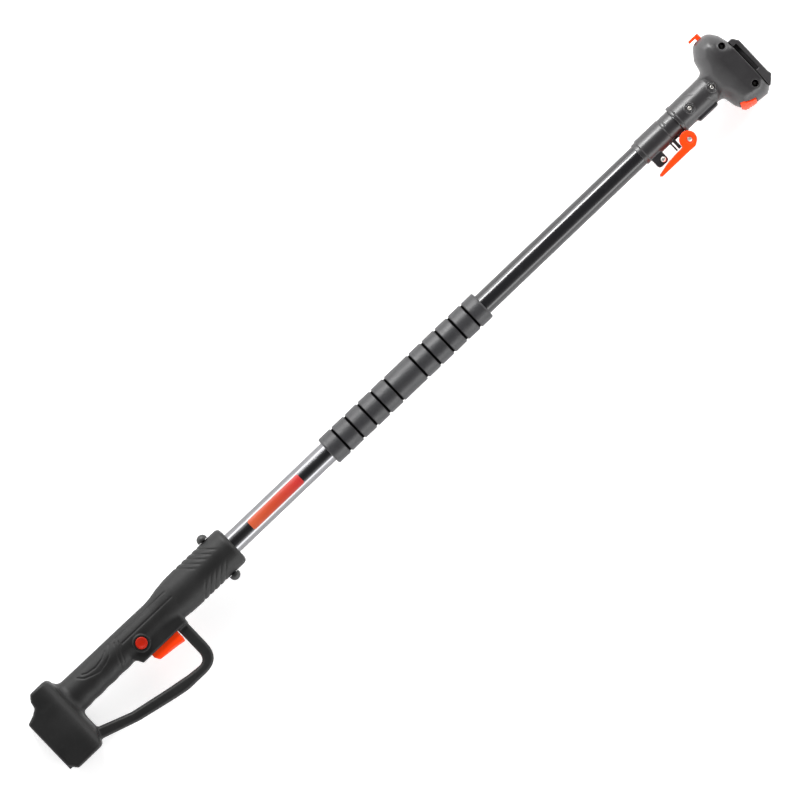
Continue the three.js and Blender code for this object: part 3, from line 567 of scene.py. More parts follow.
finger_trigger = cast("finger_trigger", (164, 22, -8), (208, 47, 8), 0.4, trigger_shape)
finish_piece(finger_trigger, orange, "trigger", "orange_plastic", "trigger")


def turned(name, profile, centre, axis, sides=64, closed=False):
    """A piece turned on a lathe: a profile of [radius, height] in mm spun round an axis through a point."""
    turn = Vector((0, 0, 1)).rotation_difference(Vector(axis).normalized()).to_matrix()
    work = bmesh.new()
    rings = []
    for radius, height in profile:
        if radius < 1e-6:
            rings.append([work.verts.new((0, 0, height))] * sides)
            continue
        angles = (2 * math.pi * k / sides for k in range(sides))
        rings.append([work.verts.new((radius * math.cos(a), radius * math.sin(a), height)) for a in angles])
    pairs = list(zip(rings, rings[1:] + rings[:1] if closed else rings[1:]))
    for low, high in pairs:
        for k in range(sides):
            corners = [low[k], low[(k + 1) % sides], high[(k + 1) % sides], high[k]]
            face = list(dict.fromkeys(corners))
            if len(face) > 2:
                work.faces.new(face)
    bmesh.ops.recalc_face_normals(work, faces=work.faces)
    for vertex in work.verts:
        vertex.co = turn @ (vertex.co / 1000) + Vector(centre)
    return worked(name, work, 38)


def end_middle(node, axis, upper):
    """The middle of a solid's end: its lower or its upper one along the axis 0, 1 or 2."""
    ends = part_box(node)
    point = (ends[0] + ends[1]) / 2
    point[axis] = ends[upper][axis]
    return point


def arc(radius, height, size, start, end, steps=6):
    """Points of a quarter-round on a profile, in degrees round its centre."""
    angles = [math.radians(start + (end - start) * k / steps) for k in range(steps + 1)]
    return [(radius + size * math.cos(a), height + size * math.sin(a)) for a in angles]


button_low, button_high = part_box("lock_button")
button_foot = end_middle("lock_button", 2, False)
button_height = (button_high.z - button_low.z) * 1000
button_profile = [(0, 0), (7.4, 0), *arc(6.4, button_height - 1, 1, 0, 90), (5.2, button_height - 0.1),
                  (4.6, button_height - 0.45), (2.4, button_height - 0.7), (0, button_height - 0.75)]
lock_cap = turned("lock_cap", button_profile, button_foot, (0, 0, 1))
finish_piece(lock_cap, button_red, "lock_button", "red_plastic", "lock_button")


# ------------------------------------------------------------------ strap studs
# A glossy black nylon stud on each side of the handle's front, for a carrying strap. Each is a mushroom
# with a round neck that the two shells close on.

stud_black = moulded_plastic("stud_black", (0.010, 0.010, 0.010), (0.014, 0.014, 0.014), 0.48, depth=0.06)
for side, across in (("back", 1), ("guard", -1)):
    stud_low, stud_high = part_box(f"strap_stud_{side}")
    stud_height = (stud_high.y - stud_low.y) * 1000
    stud_root = end_middle(f"strap_stud_{side}", 1, across < 0)
    brim = stud_height - 8.4
    turns = [math.radians(9 * k) for k in range(11)]
    dome = [(7 * math.cos(a), brim + 1.6 + 6.8 * math.sin(a)) for a in turns]
    stud_profile = [(0, 0), (3.5, 0), (3.5, brim), (6.4, brim), (7, brim + 0.6), *dome[:-1], (0, stud_height)]
    stud = turned(f"stud_{side}", stud_profile, stud_root, (0, across, 0))
    finish_piece(stud, stud_black, POLE, "stud_plastic", f"strap_stud_{side}")


# ------------------------------------------------------------------ screws, bolt and nut
# Zinc-plated thread-forming screws with a domed head and a cross recess hold the shells together; two
# more hold the neck to the tube. The collar's bolt and hexagon nut draw its split together.


def grower(name, inputs):
    """A geometry tree with named sizes, a place and a direction; returns the tree and what it is given."""
    tree = bpy.data.node_groups.new(name, "GeometryNodeTree")
    tree.interface.new_socket("Geometry", in_out="INPUT", socket_type="NodeSocketGeometry")
    for label, default in inputs:
        socket = tree.interface.new_socket(label, in_out="INPUT", socket_type="NodeSocketFloat")
        socket.default_value = default
    tree.interface.new_socket("Place", in_out="INPUT", socket_type="NodeSocketVector")
    tree.interface.new_socket("Direction", in_out="INPUT", socket_type="NodeSocketVector")
    tree.interface.new_socket("Finish", in_out="INPUT", socket_type="NodeSocketMaterial")
    tree.interface.new_socket("Geometry", in_out="OUTPUT", socket_type="NodeSocketGeometry")
    return tree, tree.nodes.new("NodeGroupInput").outputs


def set_down(tree, given, shape):
    """The end of each tree: the shape, made in mm along Z, is turned and put in its place."""
    turn = add(tree, "FunctionNodeAlignRotationToVector", {"axis": "Z"}, Vector=given["Direction"])
    moved = add(tree, "GeometryNodeTransform", Geometry=shape, Translation=given["Place"],
                Rotation=turn.outputs[0])
    moved.inputs["Scale"].default_value = (0.001, 0.001, 0.001)
    real = add(tree, "GeometryNodeRealizeInstances", Geometry=moved.outputs[0])
    painted = add(tree, "GeometryNodeSetMaterial", Geometry=real.outputs[0], Material=given["Finish"])
    tree.links.new(painted.outputs[0], tree.nodes.new("NodeGroupOutput").inputs[0])
    return tree


def screw_tree():
    """Down from the head's top: a domed head with a cross recess, then a shank with a ridged thread."""
    tree, given = grower("cross_head_screw", [
        ("Head Radius", 3.0), ("Head Height", 2.4), ("Shank Radius", 1.5), ("Length", 18.4), ("Pitch", 1.1)])
    end = add(tree, "ShaderNodeCombineXYZ", Z=given["Length"])
    axis = add(tree, "GeometryNodeCurvePrimitiveLine", End=end.outputs[0])
    fine = add(tree, "GeometryNodeResampleCurve", Curve=axis.outputs[0], Count=130)
    along = add(tree, "GeometryNodeSplineParameter").outputs["Length"]
    rise = maths(tree, "MINIMUM", maths(tree, "DIVIDE", along, given["Head Height"]), 1.0)
    dome = maths(tree, "POWER", maths(tree, "SUBTRACT", 1.0, rise), 2.4)
    head = maths(tree, "MULTIPLY", given["Head Radius"], maths(tree, "SUBTRACT", 1.0,
                 maths(tree, "MULTIPLY", dome, 0.4)))
    ridge = maths(tree, "PINGPONG", along, maths(tree, "MULTIPLY", given["Pitch"], 0.5))
    shank = maths(tree, "SUBTRACT", given["Shank Radius"], maths(tree, "MULTIPLY", ridge, 0.6))
    left = maths(tree, "SUBTRACT", given["Length"], along)
    point = maths(tree, "MINIMUM", 1.0, maths(tree, "MULTIPLY", left, 0.6))
    tip = maths(tree, "MULTIPLY", shank, maths(tree, "MAXIMUM", point, 0.3))
    in_shank = maths(tree, "GREATER_THAN", along, given["Head Height"])
    radius = add(tree, "ShaderNodeMix", {"data_type": "FLOAT"}, i0=in_shank, i2=head, i3=tip).outputs[0]
    ring = add(tree, "GeometryNodeCurvePrimitiveCircle", Resolution=28, Radius=1.0)
    body = add(tree, "GeometryNodeCurveToMesh", Curve=fine.outputs[0], Profile_Curve=ring.outputs[0],
               Scale=radius, Fill_Caps=True)
    length = maths(tree, "MULTIPLY", given["Head Radius"], 1.15)
    depth = maths(tree, "MULTIPLY", given["Head Height"], 1.2)
    width = maths(tree, "MULTIPLY", given["Head Radius"], 0.27)
    arm = add(tree, "ShaderNodeCombineXYZ", X=length, Y=width, Z=depth)
    first = add(tree, "GeometryNodeMeshCube", Size=arm.outputs[0])
    second = add(tree, "GeometryNodeTransform", Geometry=first.outputs[0])
    second.inputs["Rotation"].default_value = (0, 0, math.pi / 2)
    recess = add(tree, "GeometryNodeMeshBoolean", {"operation": "DIFFERENCE"})
    tree.links.new(body.outputs[0], recess.inputs["Mesh 1"])
    tree.links.new(first.outputs[0], recess.inputs["Mesh 2"])
    tree.links.new(second.outputs[0], recess.inputs["Mesh 2"])
    return set_down(tree, given, recess.outputs[0])


def grow(name, tree, finish, seat, facing, **sizes):
    """Runs a geometry tree with its sizes, then turns the result into a plain mesh object."""
    given = {key.replace("_", " "): value for key, value in sizes.items()}
    given |= {"Place": tuple(seat), "Direction": tuple(facing), "Finish": finish}
    holder = bpy.data.objects.new(name + "_blank", bpy.data.meshes.new(name + "_blank"))
    bpy.context.scene.collection.objects.link(holder)
    modifier = holder.modifiers.new("grow", "NODES")
    modifier.node_group = tree
    for socket in tree.interface.items_tree:
        if socket.in_out == "INPUT" and socket.name in given:
            modifier[socket.identifier] = given[socket.name]
    result = holder.evaluated_get(bpy.context.evaluated_depsgraph_get())
    mesh = bpy.data.meshes.new_from_object(result)
    mesh.name = name
    holder.modifiers.clear()
    bpy.data.objects.remove(holder)
    return as_object(name, mesh, 40)


zinc = metal("zinc_plate", (0.72, 0.70, 0.67), (0.86, 0.84, 0.80), 0.42)
screw_maker = screw_tree()
handle_screws = [(f"handle_screw_{i}", POLE, 1) for i in range(1, 9)]
neck_and_head_screws = [(f"{where}_screw_{i}", "mast", -1) for where in ("neck", "head") for i in (1, 2)]
for node, body, tip_way in handle_screws + neck_and_head_screws:
    low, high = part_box(node)
    made = grow(f"{node}_threaded", screw_maker, zinc, end_middle(node, 2, tip_way < 0), (0, 0, tip_way),
                Length=(high.z - low.z) * 1000)
    finish_piece(made, zinc, body, "steel", node)
low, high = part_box("collar_bolt")
bolt = grow("clamp_bolt", screw_maker, zinc, end_middle("collar_bolt", 2, True), (0, 0, -1), Head_Radius=3.6,
            Head_Height=2.7, Shank_Radius=1.8, Length=(high.z - low.z) * 1000, Pitch=0.7)
finish_piece(bolt, zinc, POLE, "steel", "collar_bolt")
finish_piece(refined("clamp_nut", "collar_nut", 0.35), zinc, POLE, "steel", "collar_nut")
pin_low, pin_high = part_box("lever_pin")
pin_height = (pin_high.z - pin_low.z) * 1000
pin_profile = [(0, 0), (2.3, 0), (2.8, 0.5), (2.8, pin_height - 0.5), (2.4, pin_height),
               (1.5, pin_height - 0.25), (0, pin_height - 0.5)]
pin = turned("cam_pin", pin_profile, end_middle("lever_pin", 2, False), (0, 0, 1), 40)
finish_piece(pin, zinc, POLE, "steel", "lever_pin")


# ------------------------------------------------------------------ springs and the coiled lead
# Wound steel wire for the springs behind the trigger and the buttons. The power lead is a long coil of
# black jacketed wire inside the tubes, which draws out as the pole is lengthened.


def coil_tree():
    """Wire wound round a straight line, with its own turns, radius, length and thickness."""
    tree, given = grower("wound_wire", [("Turns", 7.0), ("Radius", 3.0), ("Length", 6.0), ("Wire", 0.4)])
    coil = add(tree, "GeometryNodeCurveSpiral", Resolution=20, Rotations=given["Turns"],
               Start_Radius=given["Radius"], End_Radius=given["Radius"], Height=given["Length"])
    ring = add(tree, "GeometryNodeCurvePrimitiveCircle", Resolution=8, Radius=given["Wire"])
    wire = add(tree, "GeometryNodeCurveToMesh", Curve=coil.outputs[0], Profile_Curve=ring.outputs[0],
               Fill_Caps=True)
    return set_down(tree, given, wire.outputs[0])


coil_maker = coil_tree()
spring_steel = metal("spring_steel", (0.30, 0.30, 0.30), (0.42, 0.42, 0.42), 0.3)
lead_black = moulded_plastic("lead_jacket", (0.011, 0.011, 0.011), (0.017, 0.017, 0.017), 0.45, grain=900.0)
FLANK_SLOPE = math.atan2(8, 18)
LATCH_SPRING_HALF = 0.0042
button_way = Vector((math.sin(FLANK_SLOPE), math.cos(FLANK_SLOPE), 0))


def wound(name, node, start, end, turns, radius, wire, finish, slot):
    """A coil from one point to another, baked in place with no body of its own."""
    way = (end - start).normalized()
    length = (end - start).length * 1000 - 2 * wire
    made = grow(name, coil_maker, finish, start + way * wire / 1000, way, Turns=turns, Radius=radius - wire,
                Length=length, Wire=wire)
    finish_piece(made, finish, None, slot, node)
    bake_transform(made)


for name, node, axis, first, turns, radius, wire, body, next_body in (
    ("trigger_return", "trigger_spring", 1, False, 5, 4, 0.4, "trigger", POLE),
    ("lock_return", "lock_spring", 2, False, 4, 4, 0.4, POLE, "lock_button"),
    ("hook_return", "hook_spring", 1, True, 7, 3, 0.35, "latch_hook", "mast"),
):
    start, end = end_middle(node, axis, first), end_middle(node, axis, not first)
    wound(name, node, start, end, turns, radius, wire, spring_steel, "steel")
low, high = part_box("latch_spring")
middle = (low + high) / 2
half_run = button_way * LATCH_SPRING_HALF
wound("latch_return", "latch_spring", middle - half_run, middle + half_run, 6, 3.5, 0.35, spring_steel,
      "steel")
low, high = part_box("coil_lead")
coil_radius = (high.y - low.y) * 500
wound("power_coil", "coil_lead", Vector((low.x, pole_y, pole_z)), Vector((high.x, pole_y, pole_z)), 150,
      coil_radius, 1.9, lead_black, "lead_rubber")


# ------------------------------------------------------------------ inside the handle and the head
# A green control board with its parts, the switch with its terminals, the leads to them, and the brass
# blades in the head with their holder. All of it is plain bench work held by ribs in the shells.


def boxes(name, blocks, material, body, slot, bevel=0.25):
    """Small box-shaped parts as one piece: each is its middle and its size in mm, with broken edges."""
    work = bmesh.new()
    for middle, size in blocks:
        spot = Matrix.Translation(place(*middle)) @ Matrix.Diagonal((*[s / 1000 for s in size], 1))
        bmesh.ops.create_cube(work, size=1, matrix=spot)
    bmesh.ops.bevel(work, geom=list(work.edges), offset=bevel / 1000, segments=2, profile=0.5, affect="EDGES")
    return finish_piece(worked(name, work, 40), material, body, slot)


board_green = moulded_plastic("board_green", (0.010, 0.085, 0.028), (0.014, 0.11, 0.036), 0.3, grain=700.0)
finish_piece(refined("power_board", "control_board", 0.15), board_green, POLE, "board", "control_board")
board_low, board_high = node_ends("control_board")
on_board = board_high[2] + 0.05
chips = [((board_low[0] + 9 + 11 * i, 8 - 2 * (i % 2), on_board + 1.1), (7, 6, 2.2)) for i in range(4)]
boxes("board_chips", chips, nylon_black, POLE, "black_nylon")
finish_piece(refined("trigger_switch", "switch_body", 0.8), nylon_black, POLE, "black_nylon", "switch_body")
finish_piece(refined("head_contact_block", "head_terminal_holder", 0.6), nylon_black, "mast", "black_nylon",
             "head_terminal_holder")
for i in range(1, 4):
    blade = f"head_terminal_{i}"
    finish_piece(refined(f"head_blade_{i}", blade, 0.2), brass, "mast", "brass", blade)
for node, body in (("handle_lead", POLE), ("head_lead", "mast")):
    low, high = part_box(node)
    run = (high.x - low.x) * 1000
    thick = (high.z - low.z) * 500
    ribs = [(thick - 0.18 * (k % 2), run * k / 60) for k in range(61)]
    seat = Vector((low.x, pole_y, (low.z + high.z) / 2))
    jacket = turned(f"{node}_jacket", [(0, 0), *ribs, (0, run)], seat, (1, 0, 0), 24)
    finish_piece(jacket, lead_black, body, "lead_rubber", node)


# ------------------------------------------------------------------ outer tube and its label
# Drawn aluminium tube, bright as far as the middle of the foam grip and coated glossy black above it.
# The label is a thin laminated plate, bent to the tube, whose orange runs into red towards the foam.


def two_tone_tube(change):
    """Bright drawn metal up to a place along the pole and a glossy black coat after it."""
    material, tree, shader = new_material("tube_two_tone")
    shader.inputs["Specular IOR Level"].default_value = 0.6
    where = add(tree, "ShaderNodeTexCoord").outputs["Object"]
    along = add(tree, "ShaderNodeSeparateXYZ", Vector=where).outputs["X"]
    coated = add(tree, "ShaderNodeMapRange", Value=along, i1=change - 0.001, i2=change + 0.001).outputs[0]
    stretch = add(tree, "ShaderNodeMapping", Vector=where)
    stretch.inputs["Scale"].default_value = (6, 900, 900)
    lines = add(tree, "ShaderNodeTexNoise", Vector=stretch.outputs[0], Scale=1.0, Detail=3.0)
    surface = add(tree, "ShaderNodeGroup", {"node_tree": moulded_surface}, Grain=1800.0, Rub=0.3)
    bright = mixed(tree, lines.outputs[0], (0.15, 0.15, 0.155), (0.27, 0.27, 0.28))
    black = mixed(tree, surface.outputs["Rubbed"], (0.010, 0.010, 0.011), (0.035, 0.035, 0.036))
    tree.links.new(maths(tree, "SUBTRACT", 1.0, coated), shader.inputs["Metallic"])
    polish = add(tree, "ShaderNodeMapRange", Value=surface.outputs["Tone"], i3=0.15, i4=0.22)
    connect(tree, shader, mixed(tree, coated, bright, black), polish, lines.outputs[0], 0.08, 0.0001)
    return material


def tube(name, node, wall, material, body, slot, sides=96):
    """A drawn tube with broken edges, of its solid's own length and diameter."""
    low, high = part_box(node)
    radius = (high.y - low.y) * 500
    run = (high.x - low.x) * 1000
    bore = radius - wall
    profile = [(bore, 0.3), (bore + 0.3, 0), (radius - 0.3, 0), (radius, 0.3)]
    profile += [(radius, run * k / 40) for k in range(1, 40)]
    profile += [(radius, run - 0.3), (radius - 0.3, run), (bore + 0.3, run), (bore, run - 0.3)]
    made = turned(name, profile, Vector((low.x, pole_y, pole_z)), (1, 0, 0), sides, closed=True)
    return finish_piece(made, material, body, slot, node)


under_foam = (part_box("foam_grip")[0].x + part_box("foam_grip")[1].x) / 2
tube("lower_tube", "outer_tube", 1.0, two_tone_tube(under_foam), POLE, "tube_coat")

label_low, label_high = node_ends("label_plate")
LABEL_ROWS = 48
LABEL_COLUMNS = 14
label_inside = 14.3
label_outside = label_high[2]


def label_plate():
    """A rectangle with rounded corners, bent to the tube and as thick as its film."""
    work = bmesh.new()
    layers = []
    for radius in (label_inside, label_outside):
        grid = []
        for i in range(LABEL_ROWS + 1):
            along = label_low[0] + (label_high[0] - label_low[0]) * i / LABEL_ROWS
            short = max(0, 1.6 - min(along - label_low[0], label_high[0] - along)) / 1.6
            half = 7.2 - 1.6 * (1 - math.sqrt(max(0, 1 - short * short)))
            angles = [(2 * j / LABEL_COLUMNS - 1) * half / 14.5 for j in range(LABEL_COLUMNS + 1)]
            row = (place(along, radius * math.sin(a), radius * math.cos(a)) for a in angles)
            grid.append([work.verts.new(point) for point in row])
        layers.append(grid)
    for grid in layers:
        for i in range(LABEL_ROWS):
            for j in range(LABEL_COLUMNS):
                work.faces.new([grid[i][j], grid[i + 1][j], grid[i + 1][j + 1], grid[i][j + 1]])
    rims = []
    for grid in layers:
        lower = [row[0] for row in grid]
        upper = [row[-1] for row in grid]
        rims.append(lower + grid[-1][1:-1] + upper[::-1] + grid[0][1:-1][::-1])
    inner, outer = rims
    for k in range(len(inner)):
        after = (k + 1) % len(inner)
        work.faces.new([inner[k], inner[after], outer[after], outer[k]])
    bmesh.ops.recalc_face_normals(work, faces=work.faces)
    return worked("label", work, 40)


def label_film():
    """Glossy film printed orange at the handle end and red at the other, with a fine dot screen."""
    material, tree, shader = new_material("label_film")
    shader.inputs["Coat Weight"].default_value = 0.3
    shader.inputs["Coat Roughness"].default_value = 0.1
    where = add(tree, "ShaderNodeTexCoord").outputs["Object"]
    along = add(tree, "ShaderNodeSeparateXYZ", Vector=where).outputs["X"]
    start = place(label_low[0], 0, 0).x
    end = place(label_high[0], 0, 0).x
    run = add(tree, "ShaderNodeMapRange", Value=along, i1=start, i2=end)
    screen = add(tree, "ShaderNodeTexVoronoi", Vector=where, Scale=1500.0)
    dots = add(tree, "ShaderNodeMath", {"operation": "MULTIPLY_ADD"}, i0=screen.outputs["Distance"], i1=0.08,
               i2=run.outputs[0])
    ink = add(tree, "ShaderNodeValToRGB", Fac=dots.outputs[0])
    ink.color_ramp.elements[0].color = (0.48, 0.085, 0.03, 1)
    ink.color_ramp.elements[1].color = (0.44, 0.024, 0.022, 1)
    ink.color_ramp.elements.new(0.5).color = (0.44, 0.05, 0.018, 1)
    wear = add(tree, "ShaderNodeGroup", {"node_tree": moulded_surface}, Grain=1200.0, Rub=0.5)
    gloss = add(tree, "ShaderNodeMapRange", Value=wear.outputs["Tone"], i3=0.3, i4=0.42)
    connect(tree, shader, ink.outputs[0], gloss, wear.outputs["Height"], 0.05, 0.0001)
    return material


finish_piece(label_plate(), label_film(), POLE, "label", "label_plate")


# ------------------------------------------------------------------ foam grip
# A sleeve of closed-cell foam pushed over the tube, with five ring grooves near each end where the skin
# is pressed in, and soft rolled ends.


def foam_material():
    """Dark grey foam: open pores of two sizes, dull, with painted shade that makes the pores darker than the
    skin and the ring grooves near black.
    """
    material, tree, shader = new_material("grip_foam")
    where = add(tree, "ShaderNodeTexCoord").outputs["Object"]
    pores = add(tree, "ShaderNodeTexVoronoi", Vector=where, Scale=1100.0)
    large = add(tree, "ShaderNodeTexVoronoi", Vector=where, Scale=380.0)
    deep = add(tree, "ShaderNodeMapRange", Value=large.outputs["Distance"], i1=0.0, i2=0.35)
    height = maths(tree, "MULTIPLY", pores.outputs["Distance"], deep.outputs[0])
    # Painted shade: the pores are darkened in the base colour by their depth.
    shade = add(tree, "ShaderNodeMapRange", Value=height, i1=0.0, i2=0.5)
    wear = add(tree, "ShaderNodeGroup", {"node_tree": moulded_surface}, Patch=30.0, Rub=0.4)
    base = mixed(tree, shade.outputs[0], (0.010, 0.010, 0.011), (0.026, 0.026, 0.028))
    colour = mixed(tree, wear.outputs["Rubbed"], base, (0.050, 0.050, 0.052))
    gloss = add(tree, "ShaderNodeMapRange", Value=wear.outputs["Tone"], i3=0.38, i4=0.48)
    # Painted shade: the ring grooves are mixed to near black and their specular is cut, where shade falls in
    # them.
    groove_shade = add(tree, "ShaderNodeAttribute", {"attribute_name": "groove_shade"}).outputs["Fac"]
    groove_shaded_colour = mixed(tree, groove_shade, colour, (0.001, 0.001, 0.001))
    groove_shaded_specular = add(tree, "ShaderNodeMapRange", Value=groove_shade, i3=0.5, i4=0.0)
    tree.links.new(groove_shaded_specular.outputs[0], shader.inputs["Specular IOR Level"])
    connect(tree, shader, groove_shaded_colour, gloss, height, 0.3, 0.0003)
    return material


foam_low, foam_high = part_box("foam_grip")
foam_run = (foam_high.x - foam_low.x) * 1000
foam_radius = (foam_high.y - foam_low.y) * 500
foam_bore = 14.3
groove_pitch = 21.8
grooves = [21 + groove_pitch * i for i in range(5)] + [foam_run - 20 - groove_pitch * i for i in range(5)]
FOAM_LIP = 1.2
FOAM_ROLL = 2.6
foam_profile = [(foam_bore, FOAM_LIP), *arc(foam_bore + FOAM_LIP, FOAM_LIP, FOAM_LIP, 180, 270),
                *arc(foam_radius - FOAM_ROLL, FOAM_ROLL, FOAM_ROLL, 270, 360)]
foam_steps = 560


def pressed_in(along):
    """How far into a ring groove a place along the grip is, from 0 on the skin to 1 at its bottom."""
    return sum(math.exp(-((along - groove) / 1.5) ** 6) for groove in grooves)


for k in range(1, foam_steps):
    along = FOAM_ROLL + (foam_run - 2 * FOAM_ROLL) * k / foam_steps
    swell = 0.12 * math.sin(along * 0.11) * math.sin(along * 0.037)
    foam_profile.append((foam_radius - 0.15 + swell - 1.9 * pressed_in(along), along))
foam_profile += [*arc(foam_radius - FOAM_ROLL, foam_run - FOAM_ROLL, FOAM_ROLL, 0, 90),
                 *arc(foam_bore + FOAM_LIP, foam_run - FOAM_LIP, FOAM_LIP, 90, 180)]
foam_foot = Vector((foam_low.x, pole_y, pole_z))
foam_sleeve = turned("foam_sleeve", foam_profile, foam_foot, (1, 0, 0), 96, closed=True)
# Each point's depth into a groove, stored as the mask for the grooves' painted shade.
groove_shade_layer = foam_sleeve.data.attributes.new("groove_shade", "FLOAT", "POINT")
for vertex, value in zip(foam_sleeve.data.vertices, groove_shade_layer.data):
    value.value = min(1, pressed_in((vertex.co.x - foam_low.x) * 1000))
finish_piece(foam_sleeve, foam_material(), POLE, "foam", "foam_grip")


# ------------------------------------------------------------------ clamp collar and cam lever
# A split collar of grey nylon on the tube's end, drawn tight by a bolt through its ear. A cam lever of
# orange acetal turns on a steel pin in the lug and presses a rubber shoe on the inner tube.

collar_from, collar_to = (tool_mm(p)[0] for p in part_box("clamp_collar"))
bolt_at = node_centre("collar_bolt")
cam_pin_at = node_centre("lever_pin")
TUBE_STOP = 1012.7
collar_stations = [collar_from, collar_from + 5.6, collar_from + 6.6, collar_to - 18, collar_to - 17,
                   collar_to]
collar_radii = [15.3, 15.3, 16.5, 16.5, 15.8, 15.8]
ear_outline = rounded([(bolt_at[0] - 11.2, 5), (bolt_at[0] - 11.2, 29, 5), (bolt_at[0] + 5.1, 29, 5),
                       (bolt_at[0] + 5.1, 5)])
lug_outline = rounded([(cam_pin_at[0] - 7, 5), (cam_pin_at[0] - 7, 34.5, 5), (cam_pin_at[0] + 2.8, 34.5, 2.4),
                       (cam_pin_at[0] + 2.8, 5)])


def collar_shape(x, y, z):
    flat = (x[..., 0], y[..., 0])
    radius = np.interp(x, collar_stations, collar_radii).astype(np.float32)
    sleeve = -join(-bar(y, z, radius), -slab_cut(x, collar_from, collar_to), 1.0)
    whole = join(sleeve, drawn_out(outline_distance(ear_outline, *flat), z, 9, 1.2), 1.6)
    whole = join(whole, drawn_out(outline_distance(lug_outline, *flat), z, 8, 1.0), 1.4)
    for start, end in ((-21, -19), (-17, -13)):
        rib = np.maximum(slab_cut(x, cam_pin_at[0] + start, cam_pin_at[0] + end), slab_cut(y, 5, 27.8))
        whole = join(whole, np.maximum(rib, np.abs(z) - 8), 1.0)
    stops = slab_cut(x, collar_from - 1, TUBE_STOP)
    whole = cut(whole, np.maximum(bar(y, z, 14.3), stops), 0.3)
    whole = cut(whole, bar(y, z, 12.6), 0.3)
    split = np.maximum(np.abs(z) - 0.8, np.maximum(slab_cut(x, collar_from - 1, bolt_at[0] + 8.4), 8 - y))
    whole = cut(whole, split, 0.3)
    whole = cut(whole, standing(x, y, bolt_at[0], bolt_at[1], 2.1), 0.3)
    whole = cut(whole, standing(x, y, cam_pin_at[0], cam_pin_at[1], 3.1), 0.3)
    for reach, across in ((-2.6, (5, 17.5)), (3.1, (16.1, 22))):
        way = box_cut(x, y, z, (cam_pin_at[0] - 16.6, cam_pin_at[0] + reach), across, 6)
        whole = cut(whole, way, 0.3)
    seam = np.abs(slab_cut(x, cam_pin_at[0] - 10.2, 2000)) + np.maximum(0, y + 4) * 2
    return whole + 0.45 * np.exp(-((seam / 0.5) ** 2))


head_grey = moulded_plastic("head_grey", (0.016, 0.015, 0.016), (0.022, 0.021, 0.022), 0.34, depth=0.16,
                            specular=0.6)
collar = cast("tube_collar", (1002, -17, -17), (1064, 36, 17), 0.42, collar_shape)
finish_piece(collar, head_grey, POLE, "head_plastic", "clamp_collar")
finish_piece(refined("rubber_shoe", "brake_shoe", 0.5), lead_black, POLE, "black_nylon", "brake_shoe")

lever_outline = rounded([
    (cam_pin_at[0] - 12, 29), (cam_pin_at[0] - 23, 29, 5), (cam_pin_at[0] - 38, 30.2, 10),
    (cam_pin_at[0] - 55, 34, 2), (cam_pin_at[0] - 56.8, 36, 1.4), (cam_pin_at[0] - 54, 38, 1.4),
    (cam_pin_at[0] + 2, 38.2, 5), (cam_pin_at[0] + 2, 29),
])


def lever_shape(x, y, z):
    flat = (x[..., 0], y[..., 0])
    cam = np.hypot(flat[0] - cam_pin_at[0] + 1.5, flat[1] - cam_pin_at[1] + 1.2) - 10.7
    arm = join(outline_distance(lever_outline, *flat), cam, 2.5)
    whole = drawn_out(arm, z, 13, 1.0)
    thumb = np.hypot(x - cam_pin_at[0] + 47, y - 52) - 14.8
    whole = cut(whole, np.maximum(thumb, np.abs(z) - 9), 1.0)
    lug_round = standing(x, y, cam_pin_at[0], cam_pin_at[1], 11.5)
    lug_way = np.minimum(lug_round, np.maximum(slab_cut(x, cam_pin_at[0] - 3, 1090), slab_cut(y, 8, 40)))
    lug_way = np.minimum(lug_way, np.maximum(slab_cut(x, cam_pin_at[0] - 15, 1090), slab_cut(y, 8, 28)))
    whole = cut(whole, np.maximum(lug_way, np.abs(z) - 8.4), 0.4)
    recess = np.maximum(standing(x, y, cam_pin_at[0], cam_pin_at[1], 4.6), 12.4 - np.abs(z))
    whole = cut(whole, recess, 0.3)
    return cut(whole, standing(x, y, cam_pin_at[0], cam_pin_at[1], 3.2), 0.3)


lever = cast("cam_lever", (1002, 14, -13), (1072, 39, 13), 0.4, lever_shape)
finish_piece(lever, orange, "clamp_lever", "orange_plastic", "clamp_lever")


# ------------------------------------------------------------------ inner tube and its bush
# Satin anodised aluminium tube that slides in the outer one, with a nylon bush on its lower end.

anodised = metal("anodised_silver", (0.40, 0.41, 0.42), (0.50, 0.51, 0.52), 0.3, scratch=0.15)
tube("upper_tube", "inner_tube", 1.2, anodised, "mast", "inner_tube_metal", 64)
bush_low, bush_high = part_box("inner_bush")
bush_run = (bush_high.x - bush_low.x) * 1000
bush_profile = [(8.5, 0.3), (8.8, 0), (12.2, 0), (12.7, 0.5), (12.7, 3.2), (12.2, 3.7), (10.7, 3.7),
                (10.7, 4.4), (10.7, bush_run - 0.6), (10.1, bush_run), (8.8, bush_run), (8.5, bush_run - 0.3)]
bush = turned("tube_bush", bush_profile, Vector((bush_low.x, pole_y, pole_z)), (1, 0, 0), 64, closed=True)
finish_piece(bush, nylon_black, "mast", "black_nylon", "inner_bush")


# ------------------------------------------------------------------ tool head shells and neck
# Two half shells of warm grey nylon, moulded in one with the neck that grips the inner tube. The flanks
# fall away in big soft rounds, and two deep bores on the right hold the long screws.

